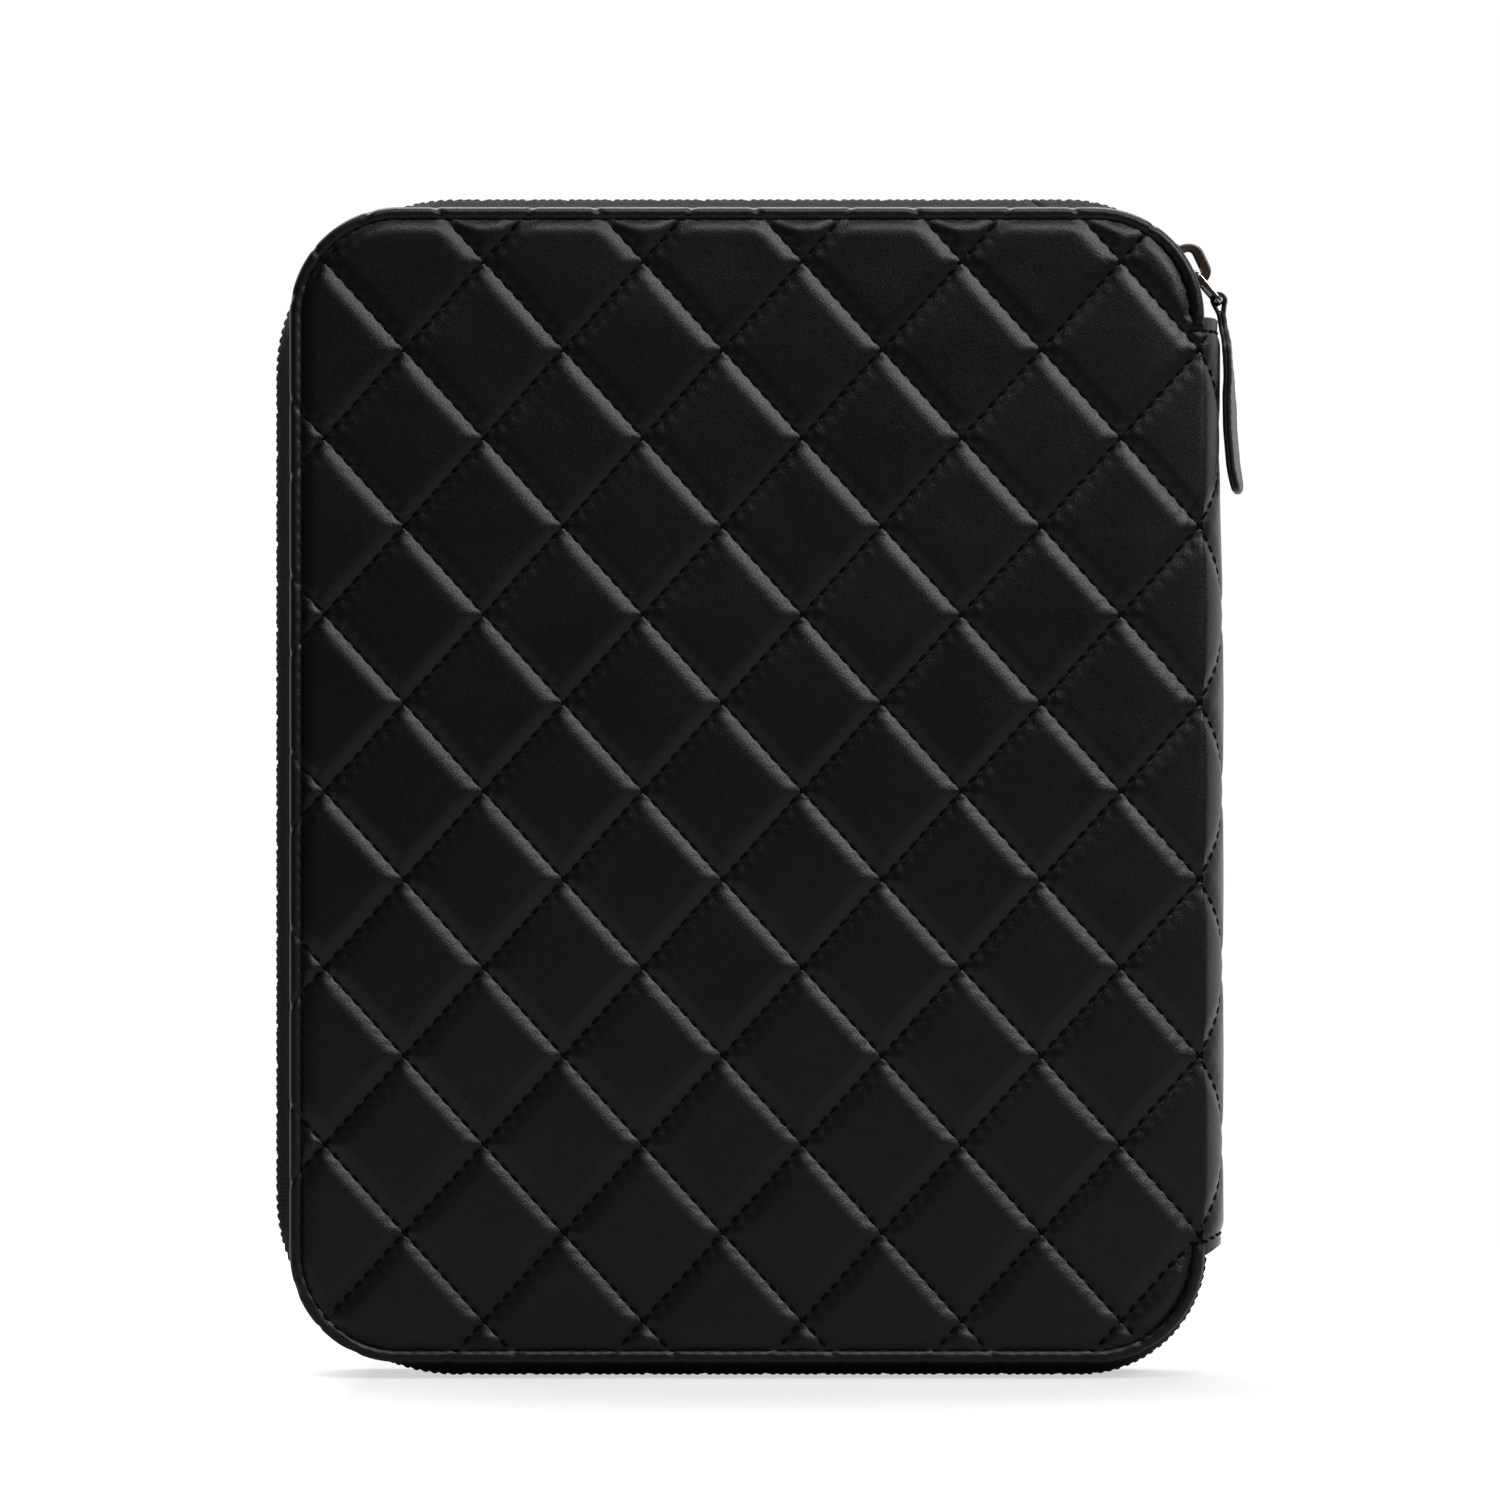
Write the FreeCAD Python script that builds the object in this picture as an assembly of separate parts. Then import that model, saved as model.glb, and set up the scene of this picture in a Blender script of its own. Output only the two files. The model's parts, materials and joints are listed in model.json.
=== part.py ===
import FreeCAD, Part
import math
import os
from FreeCAD import Vector

os.makedirs("parts", exist_ok=True)

# Driving sizes, millimetres. X runs across the covers to the spine, Y from the front cover
# to the rear cover, Z up from the surface that the closed case stands on.
cover_width = 194.8
cover_height = 246.0
case_depth = 30.0
corner_radius = 23.4
spine_bulge = 3.2
fold_radius = 4.0

# Layers of one cover, counted inward from the crown of the quilting.
leather_layer = 2.6
wadding_layer = 1.4
board_layer = 2.2
lining_layer = 1.0
hem_layer = 1.6
rim_width = 3.0
rim_drop = 1.5
hem_width = 7.0
pad_slope = 2.4
rim_bevel = 1.0

# Diamond quilting: one crossing column lies on each fold.
quilt_pitch_x = 33.9
quilt_pitch_z = 37.6
quilt_shift_z = -1.3
quilt_depth = 1.4
quilt_shoulder = 3.6
shoulder_flats = 2
seam_lift = 0.05

# Zip: a gusset of two tapes whose joined edges stand proud of the covers.
chain_reach = 2.8
chain_tuck = 2.5
left_corner_ease = 8.6
tape_layer = 0.6
slope_wall = 0.75
tape_strip_half = 4.6
tape_edge = 1.6
tape_tuck = 2.0
end_straight = 8.0
tooth_pitch = 1.95
tooth_half = 0.8
tooth_root = 1.5
tooth_mesh = 0.7
chain_end_angle = -12.0
top_stop_angle = 4.8
bottom_stop_angle = -6.0
stop_grip = 1.3

# Slider, bridge, link and pull.
slider_angle = 24.0
slider_length = 10.6
slider_mouth_half = 4.2
slider_tail_half = 3.3
slider_wall = 0.7
slider_plate = 1.1
bridge_length = 9.8
bridge_rise = 3.65
bridge_bar = 1.9
bridge_width = 2.4
bridge_round = 3.3
link_bar = 1.1
link_inner_width = 5.8
tab_length = 43.0
tab_width = 10.0
tab_layer = 0.95
tab_lean = 5.0
tab_stand_off = 0.8
tab_pin_rise = 3.8
eye_wall = 0.75

# Clearances.
fold_gap = 0.35
seat_gap = 0.3
running_gap = 0.15
curve_room = 0.55

# Fittings inside.
fitting_width = 150.0
fitting_margin = 19.0
fitting_gap = 8.0
fitting_round = 4.0
roll_clear = 3.0
roll_pitch = 11.6
tray_base = 1.4
tray_border = 3.0
tray_clear = 1.8
pocket_clear = 1.4
pocket_wall = 1.6
pocket_seam = 2.5
panel_layer = 2.6
slit_length = 4.0
slit_width = 0.9
slit_pitch = 24.0

half_depth = case_depth / 2
cover_bottom = chain_reach + tooth_half
cover_top = cover_bottom + cover_height
cover_middle = cover_bottom + cover_height / 2
left_edge = -cover_width / 2
right_edge = cover_width / 2
spine_face = right_edge + spine_bulge
fold_line = spine_face - fold_radius
spine_low = cover_bottom + corner_radius
spine_high = cover_top - corner_radius

hem_start = leather_layer + wadding_layer
tape_start = hem_start + hem_layer
lining_start = hem_start + board_layer
lining_end = lining_start + lining_layer
inner_face = half_depth - lining_end
tray_wall = inner_face - tray_clear
roll_height = 2 * inner_face - panel_layer - tray_base - roll_clear
pocket_depth = inner_face - pocket_clear


def rounded_wire(x0, x1, z0, z1, left_round, right_round, y):
    """Closed rounded rectangle in a plane of constant y."""
    corners = [
        (x1 - right_round, z1 - right_round, right_round, 0),
        (x0 + left_round, z1 - left_round, left_round, 90),
        (x0 + left_round, z0 + left_round, left_round, 180),
        (x1 - right_round, z0 + right_round, right_round, 270),
    ]
    edges = []
    last = None
    first = None
    for cx, cz, r, start in corners:
        points = []
        for turn in (0, 45, 90):
            a = math.radians(start + turn)
            points.append(Vector(cx + r * math.cos(a), y, cz + r * math.sin(a)))
        if last is not None:
            edges.append(Part.LineSegment(last, points[0]).toShape())
        else:
            first = points[0]
        edges.append(Part.Arc(*points).toShape())
        last = points[2]
    edges.append(Part.LineSegment(last, first).toShape())
    return Part.Wire(edges)


def cover_loop(inset, y):
    """Cover outline drawn in by an inset."""
    r = corner_radius - inset
    return rounded_wire(
        left_edge + inset, right_edge - inset, cover_bottom + inset, cover_top - inset, r, r, y
    )


def chain_loop(offset, y):
    """Path of the zip's joined edges, moved outward by an offset."""
    return rounded_wire(
        left_edge - chain_reach - offset,
        right_edge - chain_tuck + offset,
        cover_bottom - chain_reach - offset,
        cover_top + chain_reach + offset,
        corner_radius + left_corner_ease + offset,
        corner_radius + chain_reach + offset,
        y,
    )


def slab(wire, depth):
    """Solid between a loop and its copy further along y."""
    return Part.Face(wire).extrude(Vector(0, depth, 0))


def box(x0, x1, y0, y1, z0, z1):
    return Part.makeBox(x1 - x0, y1 - y0, z1 - z0, Vector(x0, y0, z0))


def layer(inset, start, end):
    """Front cover layer between two depths under the crown."""
    return slab(cover_loop(inset, start - half_depth), end - start)


def one_solid(shape):
    return shape.removeSplitter().Solids[0]


def turned(shape, angle, centre):
    """Shape swung from +X towards +Z about a line along y."""
    copy = shape.copy()
    copy.rotate(centre, Vector(0, -1, 0), angle)
    return copy


def to_rear(shape):
    return shape.mirror(Vector(0, 0, 0), Vector(0, 1, 0))


def outer_edges(shape, y, inset):
    """Edges in a plane of constant y that lie on the cover outline drawn in by an inset."""
    found = []
    for edge in shape.Edges:
        bounds = edge.BoundBox
        flat = abs(bounds.YMin - y) < 1e-6 and abs(bounds.YMax - y) < 1e-6
        point = edge.valueAt((edge.FirstParameter + edge.LastParameter) / 2)
        if flat and cover_loop(inset, y).distToShape(Part.Vertex(point))[0] < 1e-4:
            found.append(edge)
    return found


def channel_tool(origin, along, across, outward, length):
    """Prism that sinks one seam: two rolled shoulders, in flats, that meet in a line."""
    sink = quilt_depth + seam_lift
    radius = (quilt_shoulder**2 + sink**2) / (2 * sink)
    turn = math.asin(quilt_shoulder / radius) / shoulder_flats
    profile = [(quilt_shoulder, sink), (-quilt_shoulder, sink)]
    for i in range(shoulder_flats + 1):
        away = quilt_shoulder - radius * math.sin(i * turn)
        drop = radius * (1 - math.cos(i * turn))
        profile.append((-away, seam_lift - drop))
    for side, height in reversed(profile[2:-1]):
        profile.append((-side, height))
    profile.append(profile[0])
    start = origin - along * (length / 2)
    wire = Part.makePolygon([start + across * side + outward * up for side, up in profile])
    return Part.Face(wire).extrude(along * length)


def quilted(shape, start, side, outward, reach, low, high):
    """Shape with both families of diagonal seams sunk into the face that start lies on."""
    slope = quilt_pitch_z / quilt_pitch_x
    for lean in (1, -1):
        along = (side + Vector(0, 0, lean * slope)).normalize()
        across = along.cross(outward).normalize()
        rise = reach * slope
        length = 2 * math.hypot(reach, rise) + 2 * quilt_pitch_z
        count = int((high - low + 2 * rise) / quilt_pitch_z) + 2
        first = math.floor((low - rise - start.z) / quilt_pitch_z)
        tools = []
        for i in range(count + 1):
            level = start.z + (first + i) * quilt_pitch_z
            if low - rise - quilt_pitch_z < level < high + rise + quilt_pitch_z:
                origin = Vector(start.x, start.y, level)
                tools.append(channel_tool(origin, along, across, outward, length))
        shape = shape.cut(tools)
    return one_solid(shape)


def quilted_cover():
    """Quilted pad, the rolled rim outside its edge seam and the hem turned in behind."""
    fold_end = fold_line - fold_gap
    crown = cover_loop(rim_width + pad_slope, -half_depth)
    seam = cover_loop(rim_width, rim_drop - half_depth)
    pad = Part.makeLoft([crown, seam], True, True)
    pad = pad.fuse(layer(rim_width, rim_drop, leather_layer))
    run = box(
        right_edge - 2 * rim_width,
        fold_end,
        -half_depth,
        leather_layer - half_depth,
        spine_low + rim_width,
        spine_high - rim_width,
    )
    rim = layer(0, rim_drop, hem_start)
    rim = rim.makeChamfer(rim_bevel, outer_edges(rim, rim_drop - half_depth, 0))
    rim = rim.cut([layer(rim_width, rim_drop, hem_start), run])
    ends = [
        e
        for e in run.Edges
        if abs(e.BoundBox.YMax + half_depth) < 1e-6 and e.BoundBox.ZLength < 1e-6
    ]
    run = run.makeChamfer(rim_drop, ends)
    hem = layer(0, hem_start, tape_start).cut(layer(hem_width, hem_start, tape_start))
    past = right_edge + spine_bulge
    back = tape_start - half_depth
    rim = rim.cut(box(fold_end, past, -half_depth, back, spine_low, spine_high))
    hem = hem.cut(box(right_edge - hem_width, past, -half_depth, back, spine_low, spine_high))
    start = Vector(fold_line, -half_depth, cover_middle + quilt_shift_z + quilt_pitch_z / 2)
    top = quilted(
        one_solid(pad.fuse(run)), start, Vector(1, 0, 0), Vector(0, -1, 0),
        cover_width, cover_bottom, cover_top,
    )
    return one_solid(top.fuse([rim, hem]))


def spine_cover():
    """Spine leather: a web with a rolled fold along each side."""
    skin = leather_layer - seat_gap
    inner = fold_radius - skin
    diagonal = math.sqrt(0.5)
    edges = []

    def fold(side, radius, flip):
        centre = Vector(fold_line, side * (half_depth - fold_radius), 0)
        points = [
            centre + Vector(0, side * radius, 0),
            centre + Vector(radius * diagonal, side * radius * diagonal, 0),
            centre + Vector(radius, 0, 0),
        ]
        if flip:
            points.reverse()
        edges.append(Part.Arc(*points).toShape())
        return points

    a = fold(-1, fold_radius, False)
    b = fold(1, fold_radius, True)
    c = fold(1, inner, False)
    d = fold(-1, inner, True)
    for start, end in ((a[2], b[0]), (b[2], c[0]), (c[2], d[0]), (d[2], a[0])):
        edges.append(Part.LineSegment(start, end).toShape())
    face = Part.Face(Part.Wire(Part.__sortEdges__(edges)))
    face.translate(Vector(0, 0, spine_low + seat_gap))
    shape = face.extrude(Vector(0, 0, spine_high - spine_low - 2 * seat_gap))
    start = Vector(spine_face, 0, cover_middle + quilt_shift_z)
    return quilted(
        shape, start, Vector(0, 1, 0), Vector(1, 0, 0), half_depth, spine_low, spine_high
    )


def gusset():
    """Front tape all round: sewn flange, slope and the flat strip that carries the teeth."""
    flange_y = tape_start - half_depth
    tuck_in = seat_gap
    slope_in = 2 * seat_gap + running_gap
    flange = slab(cover_loop(tuck_in, flange_y), tape_layer)
    flange = flange.cut(slab(cover_loop(hem_width, flange_y), tape_layer))
    strip_y = -tape_strip_half
    half = tape_layer / 2
    outside = Part.makeLoft([cover_loop(slope_in, flange_y), chain_loop(half, strip_y)], True, True)
    inside = Part.makeLoft(
        [cover_loop(slope_in + slope_wall, flange_y), chain_loop(-half, strip_y)], True, True
    )
    strip_run = tape_strip_half - tape_edge
    strip = slab(chain_loop(half, strip_y), strip_run)
    strip = strip.cut(slab(chain_loop(-half, strip_y), strip_run))
    return outside.cut(inside).fuse([flange, strip])


corner_high = Vector(
    right_edge - chain_tuck - corner_radius - chain_reach, 0, cover_top - corner_radius
)
corner_low = Vector(corner_high.x, 0, cover_bottom + corner_radius)
chain_round = corner_radius + chain_reach
left_round = corner_radius + left_corner_ease
split_x = corner_high.x - end_straight
slider_sweep = math.degrees(slider_length / 2 / chain_round)


def tape_parts(whole):
    """The run round three sides, and the two ends that bend where they meet the spine."""
    far = cover_width + cover_height
    deep = case_depth
    run = whole.common(box(-far, split_x, -deep, deep, -far, far))
    upper = whole.common(box(split_x, far, -deep, deep, spine_high - tape_tuck, far))
    lower = whole.common(box(split_x, far, -deep, deep, -far, spine_low + tape_tuck))
    return one_solid(run), [one_solid(upper), one_solid(lower)]


def tooth():
    """One zip element at the origin: +X out of the case, +Z along the zip, nose past y = 0."""
    outline = Part.makePolygon(
        [
            Vector(-tooth_half, -tape_edge, -tooth_root / 2),
            Vector(-tooth_half, tooth_mesh, 0),
            Vector(-tooth_half, -tape_edge, tooth_root / 2),
            Vector(-tooth_half, -tape_edge, -tooth_root / 2),
        ]
    )
    return Part.Face(outline).extrude(Vector(2 * tooth_half, 0, 0))


def zip_path():
    """Pieces of the chain's path from the slider to the bottom stop: length, place at a run."""
    left_x = left_edge - chain_reach
    top_z = cover_top + chain_reach
    low_z = cover_bottom - chain_reach
    turn_left = left_x + left_round
    start = slider_angle + slider_sweep + math.degrees(seat_gap / chain_round)

    def arc(centre, radius, a0, a1):
        length = math.radians(a1 - a0) * radius

        def at(run):
            a = a0 + math.degrees(run / radius)
            out = Vector(math.cos(math.radians(a)), 0, math.sin(math.radians(a)))
            return centre + out * radius, a

        return length, at

    def line(p0, p1, angle):
        length = (p1 - p0).Length

        def at(run):
            return p0 + (p1 - p0) * (run / length), angle

        return length, at

    upper_left = Vector(turn_left, 0, top_z - left_round)
    lower_left = Vector(turn_left, 0, low_z + left_round)
    return [
        arc(corner_high, chain_round, start, 90),
        line(Vector(corner_high.x, 0, top_z), Vector(turn_left, 0, top_z), 90),
        arc(upper_left, left_round, 90, 180),
        line(Vector(left_x, 0, upper_left.z), Vector(left_x, 0, lower_left.z), 180),
        arc(lower_left, left_round, 180, 270),
        line(Vector(turn_left, 0, low_z), Vector(corner_low.x, 0, low_z), 270),
        arc(corner_low, chain_round, 270, 360 + chain_end_angle),
    ]


def teeth():
    """Both rows of zip elements, each as those on the run and those on its bending ends."""
    path = zip_path()
    total = sum(piece[0] for piece in path)
    count = int(total / tooth_pitch)
    plain = tooth()
    forms = {"front": plain, "rear": to_rear(plain)}
    made = {"front": ([], []), "rear": ([], [])}
    for i in range(2 * count):
        row = ("front", "rear")[i % 2]
        run = (i + 1) * tooth_pitch / 2
        if run > total:
            break
        for length, at in path:
            if run <= length:
                break
            run -= length
        place, angle = at(run)
        piece = turned(forms[row], angle, Vector(0, 0, 0))
        piece.translate(place)
        made[row][place.x > split_x].append(piece)
    return made


def slider_outline(x0, x1, draw_in, stretch):
    """Slider plan between two radii, its wide mouth towards the spine."""
    half = slider_length / 2 + stretch
    mouth = slider_mouth_half - draw_in
    tail = slider_tail_half - draw_in
    shoulder = slider_length / 10
    plan = [(-mouth, -half), (mouth, -half), (mouth, -shoulder), (tail, 2 * shoulder), (tail, half)]
    plan += [(-tail, half), (-tail, 2 * shoulder), (-mouth, -shoulder), (-mouth, -half)]
    wire = Part.makePolygon([Vector(x0, y, z) for y, z in plan])
    return Part.Face(wire).extrude(Vector(x1 - x0, 0, 0))


channel_out = tooth_half + running_gap
channel_in = tooth_half + running_gap + curve_room
slot_out = tape_layer / 2 + running_gap
slot_in = tape_layer / 2 + running_gap + curve_room
plate_out = channel_out + slider_plate
plate_in = channel_in + slider_plate


def slider_body():
    """Two plates with side flanges, joined by the post that parts the two rows."""
    body = slider_outline(chain_round - plate_in, chain_round + plate_out, 0, 0)
    body = body.cut(
        slider_outline(chain_round - channel_in, chain_round + channel_out, slider_wall, slider_wall)
    )
    wide = 2 * slider_mouth_half
    slot = box(
        chain_round - slot_in, chain_round + slot_out, -wide, wide, -slider_length, slider_length
    )
    half = slider_length / 2
    post = box(
        chain_round - plate_in,
        chain_round + plate_out,
        -tape_edge / 2,
        tape_edge / 2,
        -half + slider_wall,
        -half + slider_length / 4,
    )
    return one_solid(body.cut(slot).fuse(post))


def arch(length, height, round_off, base):
    """Side view of an arch standing on a plate, as a face at y = 0."""
    half = length / 2
    diagonal = round_off * (1 - math.sqrt(0.5))
    top = base + height
    p = [
        Vector(base, 0, -half),
        Vector(top - round_off, 0, -half),
        Vector(top - diagonal, 0, -half + diagonal),
        Vector(top, 0, -half + round_off),
        Vector(top, 0, half - round_off),
        Vector(top - diagonal, 0, half - diagonal),
        Vector(top - round_off, 0, half),
        Vector(base, 0, half),
    ]
    edges = [
        Part.LineSegment(p[0], p[1]).toShape(),
        Part.Arc(p[1], p[2], p[3]).toShape(),
        Part.LineSegment(p[3], p[4]).toShape(),
        Part.Arc(p[4], p[5], p[6]).toShape(),
        Part.LineSegment(p[6], p[7]).toShape(),
        Part.LineSegment(p[7], p[0]).toShape(),
    ]
    return Part.Face(Part.Wire(edges))


plate_face = chain_round + plate_out
window = bridge_rise - bridge_bar


def slider_bridge():
    """Bail that holds the link on the slider."""
    outer = arch(bridge_length, bridge_rise, bridge_round, plate_face)
    inner = arch(bridge_length - 2 * bridge_bar, window, bridge_bar / 2, plate_face)
    shape = outer.cut(inner).extrude(Vector(0, bridge_width, 0))
    shape.translate(Vector(0, -bridge_width / 2, 0))
    return one_solid(shape)


link_seat = Vector(
    plate_face + window / 2, 0, -bridge_length / 2 + bridge_bar + link_bar + running_gap / 2
)


def on_slider(point):
    """Place of a point on the slider, once the slider stands at its rest angle."""
    a = math.radians(slider_angle)
    out = Vector(math.cos(a), 0, math.sin(a))
    run = Vector(-math.sin(a), 0, math.cos(a))
    return corner_high + out * point.x + run * point.z


link_pin = on_slider(link_seat)
tab_pin = Vector(spine_face + tab_stand_off, 0, spine_high + tab_pin_rise)
link_run = (tab_pin - link_pin).Length
link_heading = math.degrees(math.atan2(tab_pin.z - link_pin.z, tab_pin.x - link_pin.x))


def link():
    """Stamped loop between the bridge and the leather pull, drawn along +X and turned."""
    half = link_bar / 2
    wide = link_inner_width / 2

    def loop(grow, round_off):
        wire = rounded_wire(
            -grow, link_run + grow, -wide - half - grow, wide + half + grow, round_off, round_off, 0
        )
        wire.rotate(Vector(0, 0, 0), Vector(1, 0, 0), 90)
        return Part.Face(wire)

    shape = loop(half, 2 * link_bar).cut(loop(-half, link_bar)).extrude(Vector(0, 0, link_bar))
    shape.translate(Vector(0, 0, -half))
    shape = turned(shape, link_heading, Vector(0, 0, 0))
    shape.translate(link_pin)
    return one_solid(shape)


def tab():
    """Leather strip folded round the link and sewn to itself, hanging from the fold."""
    bore = link_bar * math.sqrt(0.5) + running_gap
    eye = bore + eye_wall
    neck = link_inner_width / 2 - seat_gap
    half = tab_width / 2
    low = eye - tab_length
    shoulder = -2 * half
    outline = [
        Part.LineSegment(Vector(0, -neck, 0), Vector(0, -neck, shoulder / 2)),
        Part.LineSegment(Vector(0, -neck, shoulder / 2), Vector(0, -half, shoulder)),
        Part.LineSegment(Vector(0, -half, shoulder), Vector(0, -half, low + half)),
        Part.Arc(Vector(0, -half, low + half), Vector(0, 0, low), Vector(0, half, low + half)),
        Part.LineSegment(Vector(0, half, low + half), Vector(0, half, shoulder)),
        Part.LineSegment(Vector(0, half, shoulder), Vector(0, neck, shoulder / 2)),
        Part.LineSegment(Vector(0, neck, shoulder / 2), Vector(0, neck, 0)),
        Part.LineSegment(Vector(0, neck, 0), Vector(0, -neck, 0)),
    ]
    face = Part.Face(Part.Wire([g.toShape() for g in outline]))
    shape = face.extrude(Vector(2 * tab_layer, 0, 0))
    shape.translate(Vector(-tab_layer, 0, 0))
    along = Vector(0, 1, 0)
    shape = shape.fuse(Part.makeCylinder(eye, 2 * neck, Vector(0, -neck, 0), along))
    shape = shape.cut(Part.makeCylinder(bore, 4 * neck, Vector(0, -2 * neck, 0), along))
    shape = turned(shape, tab_lean, Vector(0, 0, 0))
    shape.translate(tab_pin)
    return one_solid(shape)


def clamp(angle, centre, half_width, ends):
    """Metal piece closed round the edges of the tape ends at an angle of a corner."""
    rise = tooth_half + running_gap
    shape = box(
        chain_round - rise, chain_round + rise, -half_width, half_width, -tooth_root, tooth_root
    )
    shape = turned(shape, angle, Vector(0, 0, 0))
    shape.translate(centre)
    return shape.cut(ends)


def top_stop(ends):
    """Stop closed on the front tape's edge between the slider's mouth and the spine."""
    shape = clamp(top_stop_angle, corner_high, tape_edge + stop_grip, ends)
    deep = case_depth
    far = cover_width + cover_height
    return one_solid(shape.common(box(-far, far, -deep, -tape_edge + seat_gap, -far, far)))


def spine_board():
    inset = tape_tuck + 2 * seat_gap
    edge = fold_line + fold_radius - (leather_layer - seat_gap)
    wide = half_depth - fold_radius - 2 * seat_gap
    thick = wadding_layer
    return box(edge - thick, edge, -wide, wide, spine_low + inset, spine_high - inset), edge - thick


def spine_lining(back):
    inset = tape_tuck + 2 * seat_gap
    wide = inner_face + lining_layer
    return box(back - lining_layer, back, -wide, wide, spine_low + inset, spine_high - inset)


def lining(back):
    """Lining sheet that covers the board and the sewn flange of the tape."""
    edge = back - lining_layer - 2 * seat_gap
    inset = rim_width / 2
    r = corner_radius - inset
    wire = rounded_wire(
        left_edge + inset, edge, cover_bottom + inset, cover_top - inset, r, r,
        lining_start - half_depth,
    )
    return slab(wire, lining_layer)


half_fit = fitting_width / 2
fit_low = cover_bottom + fitting_margin
fit_high = cover_top - fitting_margin
fit_mid_low = cover_middle - fitting_gap / 2
fit_mid_high = cover_middle + fitting_gap / 2


def fitting(y0, y1, z0, z1):
    """Slab inside the case with rounded corners."""
    r = fitting_round
    return slab(rounded_wire(-half_fit, half_fit, z0, z1, r, r, y0), y1 - y0)


def ring_tray():
    """Shallow tray on the rear lining that frames the ring rolls."""
    wall_y = inner_face - tray_wall
    shape = fitting(wall_y, inner_face, fit_mid_high, fit_high)
    hollow = box(
        -half_fit + tray_border,
        half_fit - tray_border,
        wall_y - tray_wall,
        inner_face - tray_base,
        fit_mid_high + tray_border,
        fit_high - tray_border,
    )
    return shape.cut(hollow)


def ring_rolls():
    """Padded rolls that hold rings in the slits between them."""
    span = fit_high - fit_mid_high - 2 * tray_border
    count = int(span / roll_pitch)
    wide = (roll_pitch - seat_gap) / 2
    start = fit_mid_high + tray_border + span / 2 - (count - 1) / 2 * roll_pitch
    back = inner_face - tray_base
    crown = back - roll_height
    long = fitting_width - 2 * tray_border - 2 * seat_gap
    rolls = []
    for i in range(count):
        z = start + i * roll_pitch
        p = [
            Vector(-long / 2, back, z - wide),
            Vector(-long / 2, crown + wide, z - wide),
            Vector(-long / 2, crown, z),
            Vector(-long / 2, crown + wide, z + wide),
            Vector(-long / 2, back, z + wide),
        ]
        edges = [
            Part.LineSegment(p[0], p[1]).toShape(),
            Part.Arc(p[1], p[2], p[3]).toShape(),
            Part.LineSegment(p[3], p[4]).toShape(),
            Part.LineSegment(p[4], p[0]).toShape(),
        ]
        rolls.append(Part.Face(Part.Wire(edges)).extrude(Vector(long, 0, 0)))
    return rolls


def pocket(rooms):
    """Slip pocket on the rear lining, open at the top, sewn at its sides and between rooms."""
    face_y = inner_face - pocket_depth
    shape = fitting(face_y, inner_face, fit_low, fit_mid_low + fitting_round)
    shape = shape.common(box(-half_fit, half_fit, face_y, inner_face, fit_low, fit_mid_low))
    room = (fitting_width - pocket_seam * (rooms + 1)) / rooms
    for i in range(rooms):
        x = -half_fit + pocket_seam + i * (room + pocket_seam)
        hollow = box(
            x, x + room, face_y + pocket_wall, inner_face, fit_low + pocket_seam, fit_mid_low
        )
        shape = shape.cut(hollow)
    return one_solid(shape)


def earring_panel():
    """Padded panel on the front lining with rows of slits for earrings."""
    face_y = -inner_face + panel_layer
    shape = fitting(-inner_face, face_y, fit_mid_high, fit_high)
    columns = int((fitting_width - slit_pitch) / slit_pitch)
    rows = int((fit_high - fit_mid_high - slit_pitch) / slit_pitch)
    middle = (fit_mid_high + fit_high) / 2
    slits = []
    for i in range(columns):
        for j in range(rows):
            x = (i - (columns - 1) / 2) * slit_pitch
            z = middle + (j - (rows - 1) / 2) * slit_pitch
            slits.append(
                box(
                    x - slit_length / 2, x + slit_length / 2, -inner_face, face_y,
                    z - slit_width / 2, z + slit_width / 2,
                )
            )
    return one_solid(shape.cut(slits))


nodes = {}
leather = quilted_cover()
wadding = layer(rim_width + seat_gap, leather_layer, hem_start)
board = layer(hem_width + seat_gap, hem_start, lining_start)
run, ends = tape_parts(gusset())
rows = teeth()
stiffener, stiffener_back = spine_board()
sheet = lining(stiffener_back)
stop = top_stop(ends)

for side in ("front", "rear"):
    place = to_rear if side == "rear" else (lambda shape: shape)
    nodes[side + "_quilted_leather"] = [place(leather)]
    nodes[side + "_wadding"] = [place(wadding)]
    nodes[side + "_board"] = [place(board)]
    nodes[side + "_lining"] = [place(sheet)]
    nodes[side + "_zip_tape"] = [place(run)]
    nodes[side + "_zip_tape_ends"] = [place(end) for end in ends]
    nodes[side + "_zip_top_stop"] = [place(stop)]
    nodes[side + "_zip_teeth"] = rows[side][0]
    nodes[side + "_zip_teeth_ends"] = rows[side][1]

both_ends = ends + [to_rear(end) for end in ends]
nodes["spine_quilted_leather"] = [spine_cover()]
nodes["spine_board"] = [stiffener]
nodes["spine_lining"] = [spine_lining(stiffener_back)]
nodes["zip_bottom_stop"] = [
    one_solid(clamp(bottom_stop_angle, corner_low, tape_edge + stop_grip, both_ends))
]
nodes["zip_slider_body"] = [slider_body()]
nodes["zip_slider_bridge"] = [slider_bridge()]
for name in ("zip_slider_body", "zip_slider_bridge"):
    standing = turned(nodes[name][0], slider_angle, Vector(0, 0, 0))
    standing.translate(corner_high)
    nodes[name] = [standing]
nodes["pull_link"] = [link()]
nodes["pull_tab"] = [tab()]
nodes["ring_tray"] = [ring_tray()]
nodes["ring_rolls"] = ring_rolls()
nodes["rear_pocket"] = [pocket(2)]
nodes["front_pocket"] = [to_rear(pocket(1))]
nodes["earring_panel"] = [earring_panel()]

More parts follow.
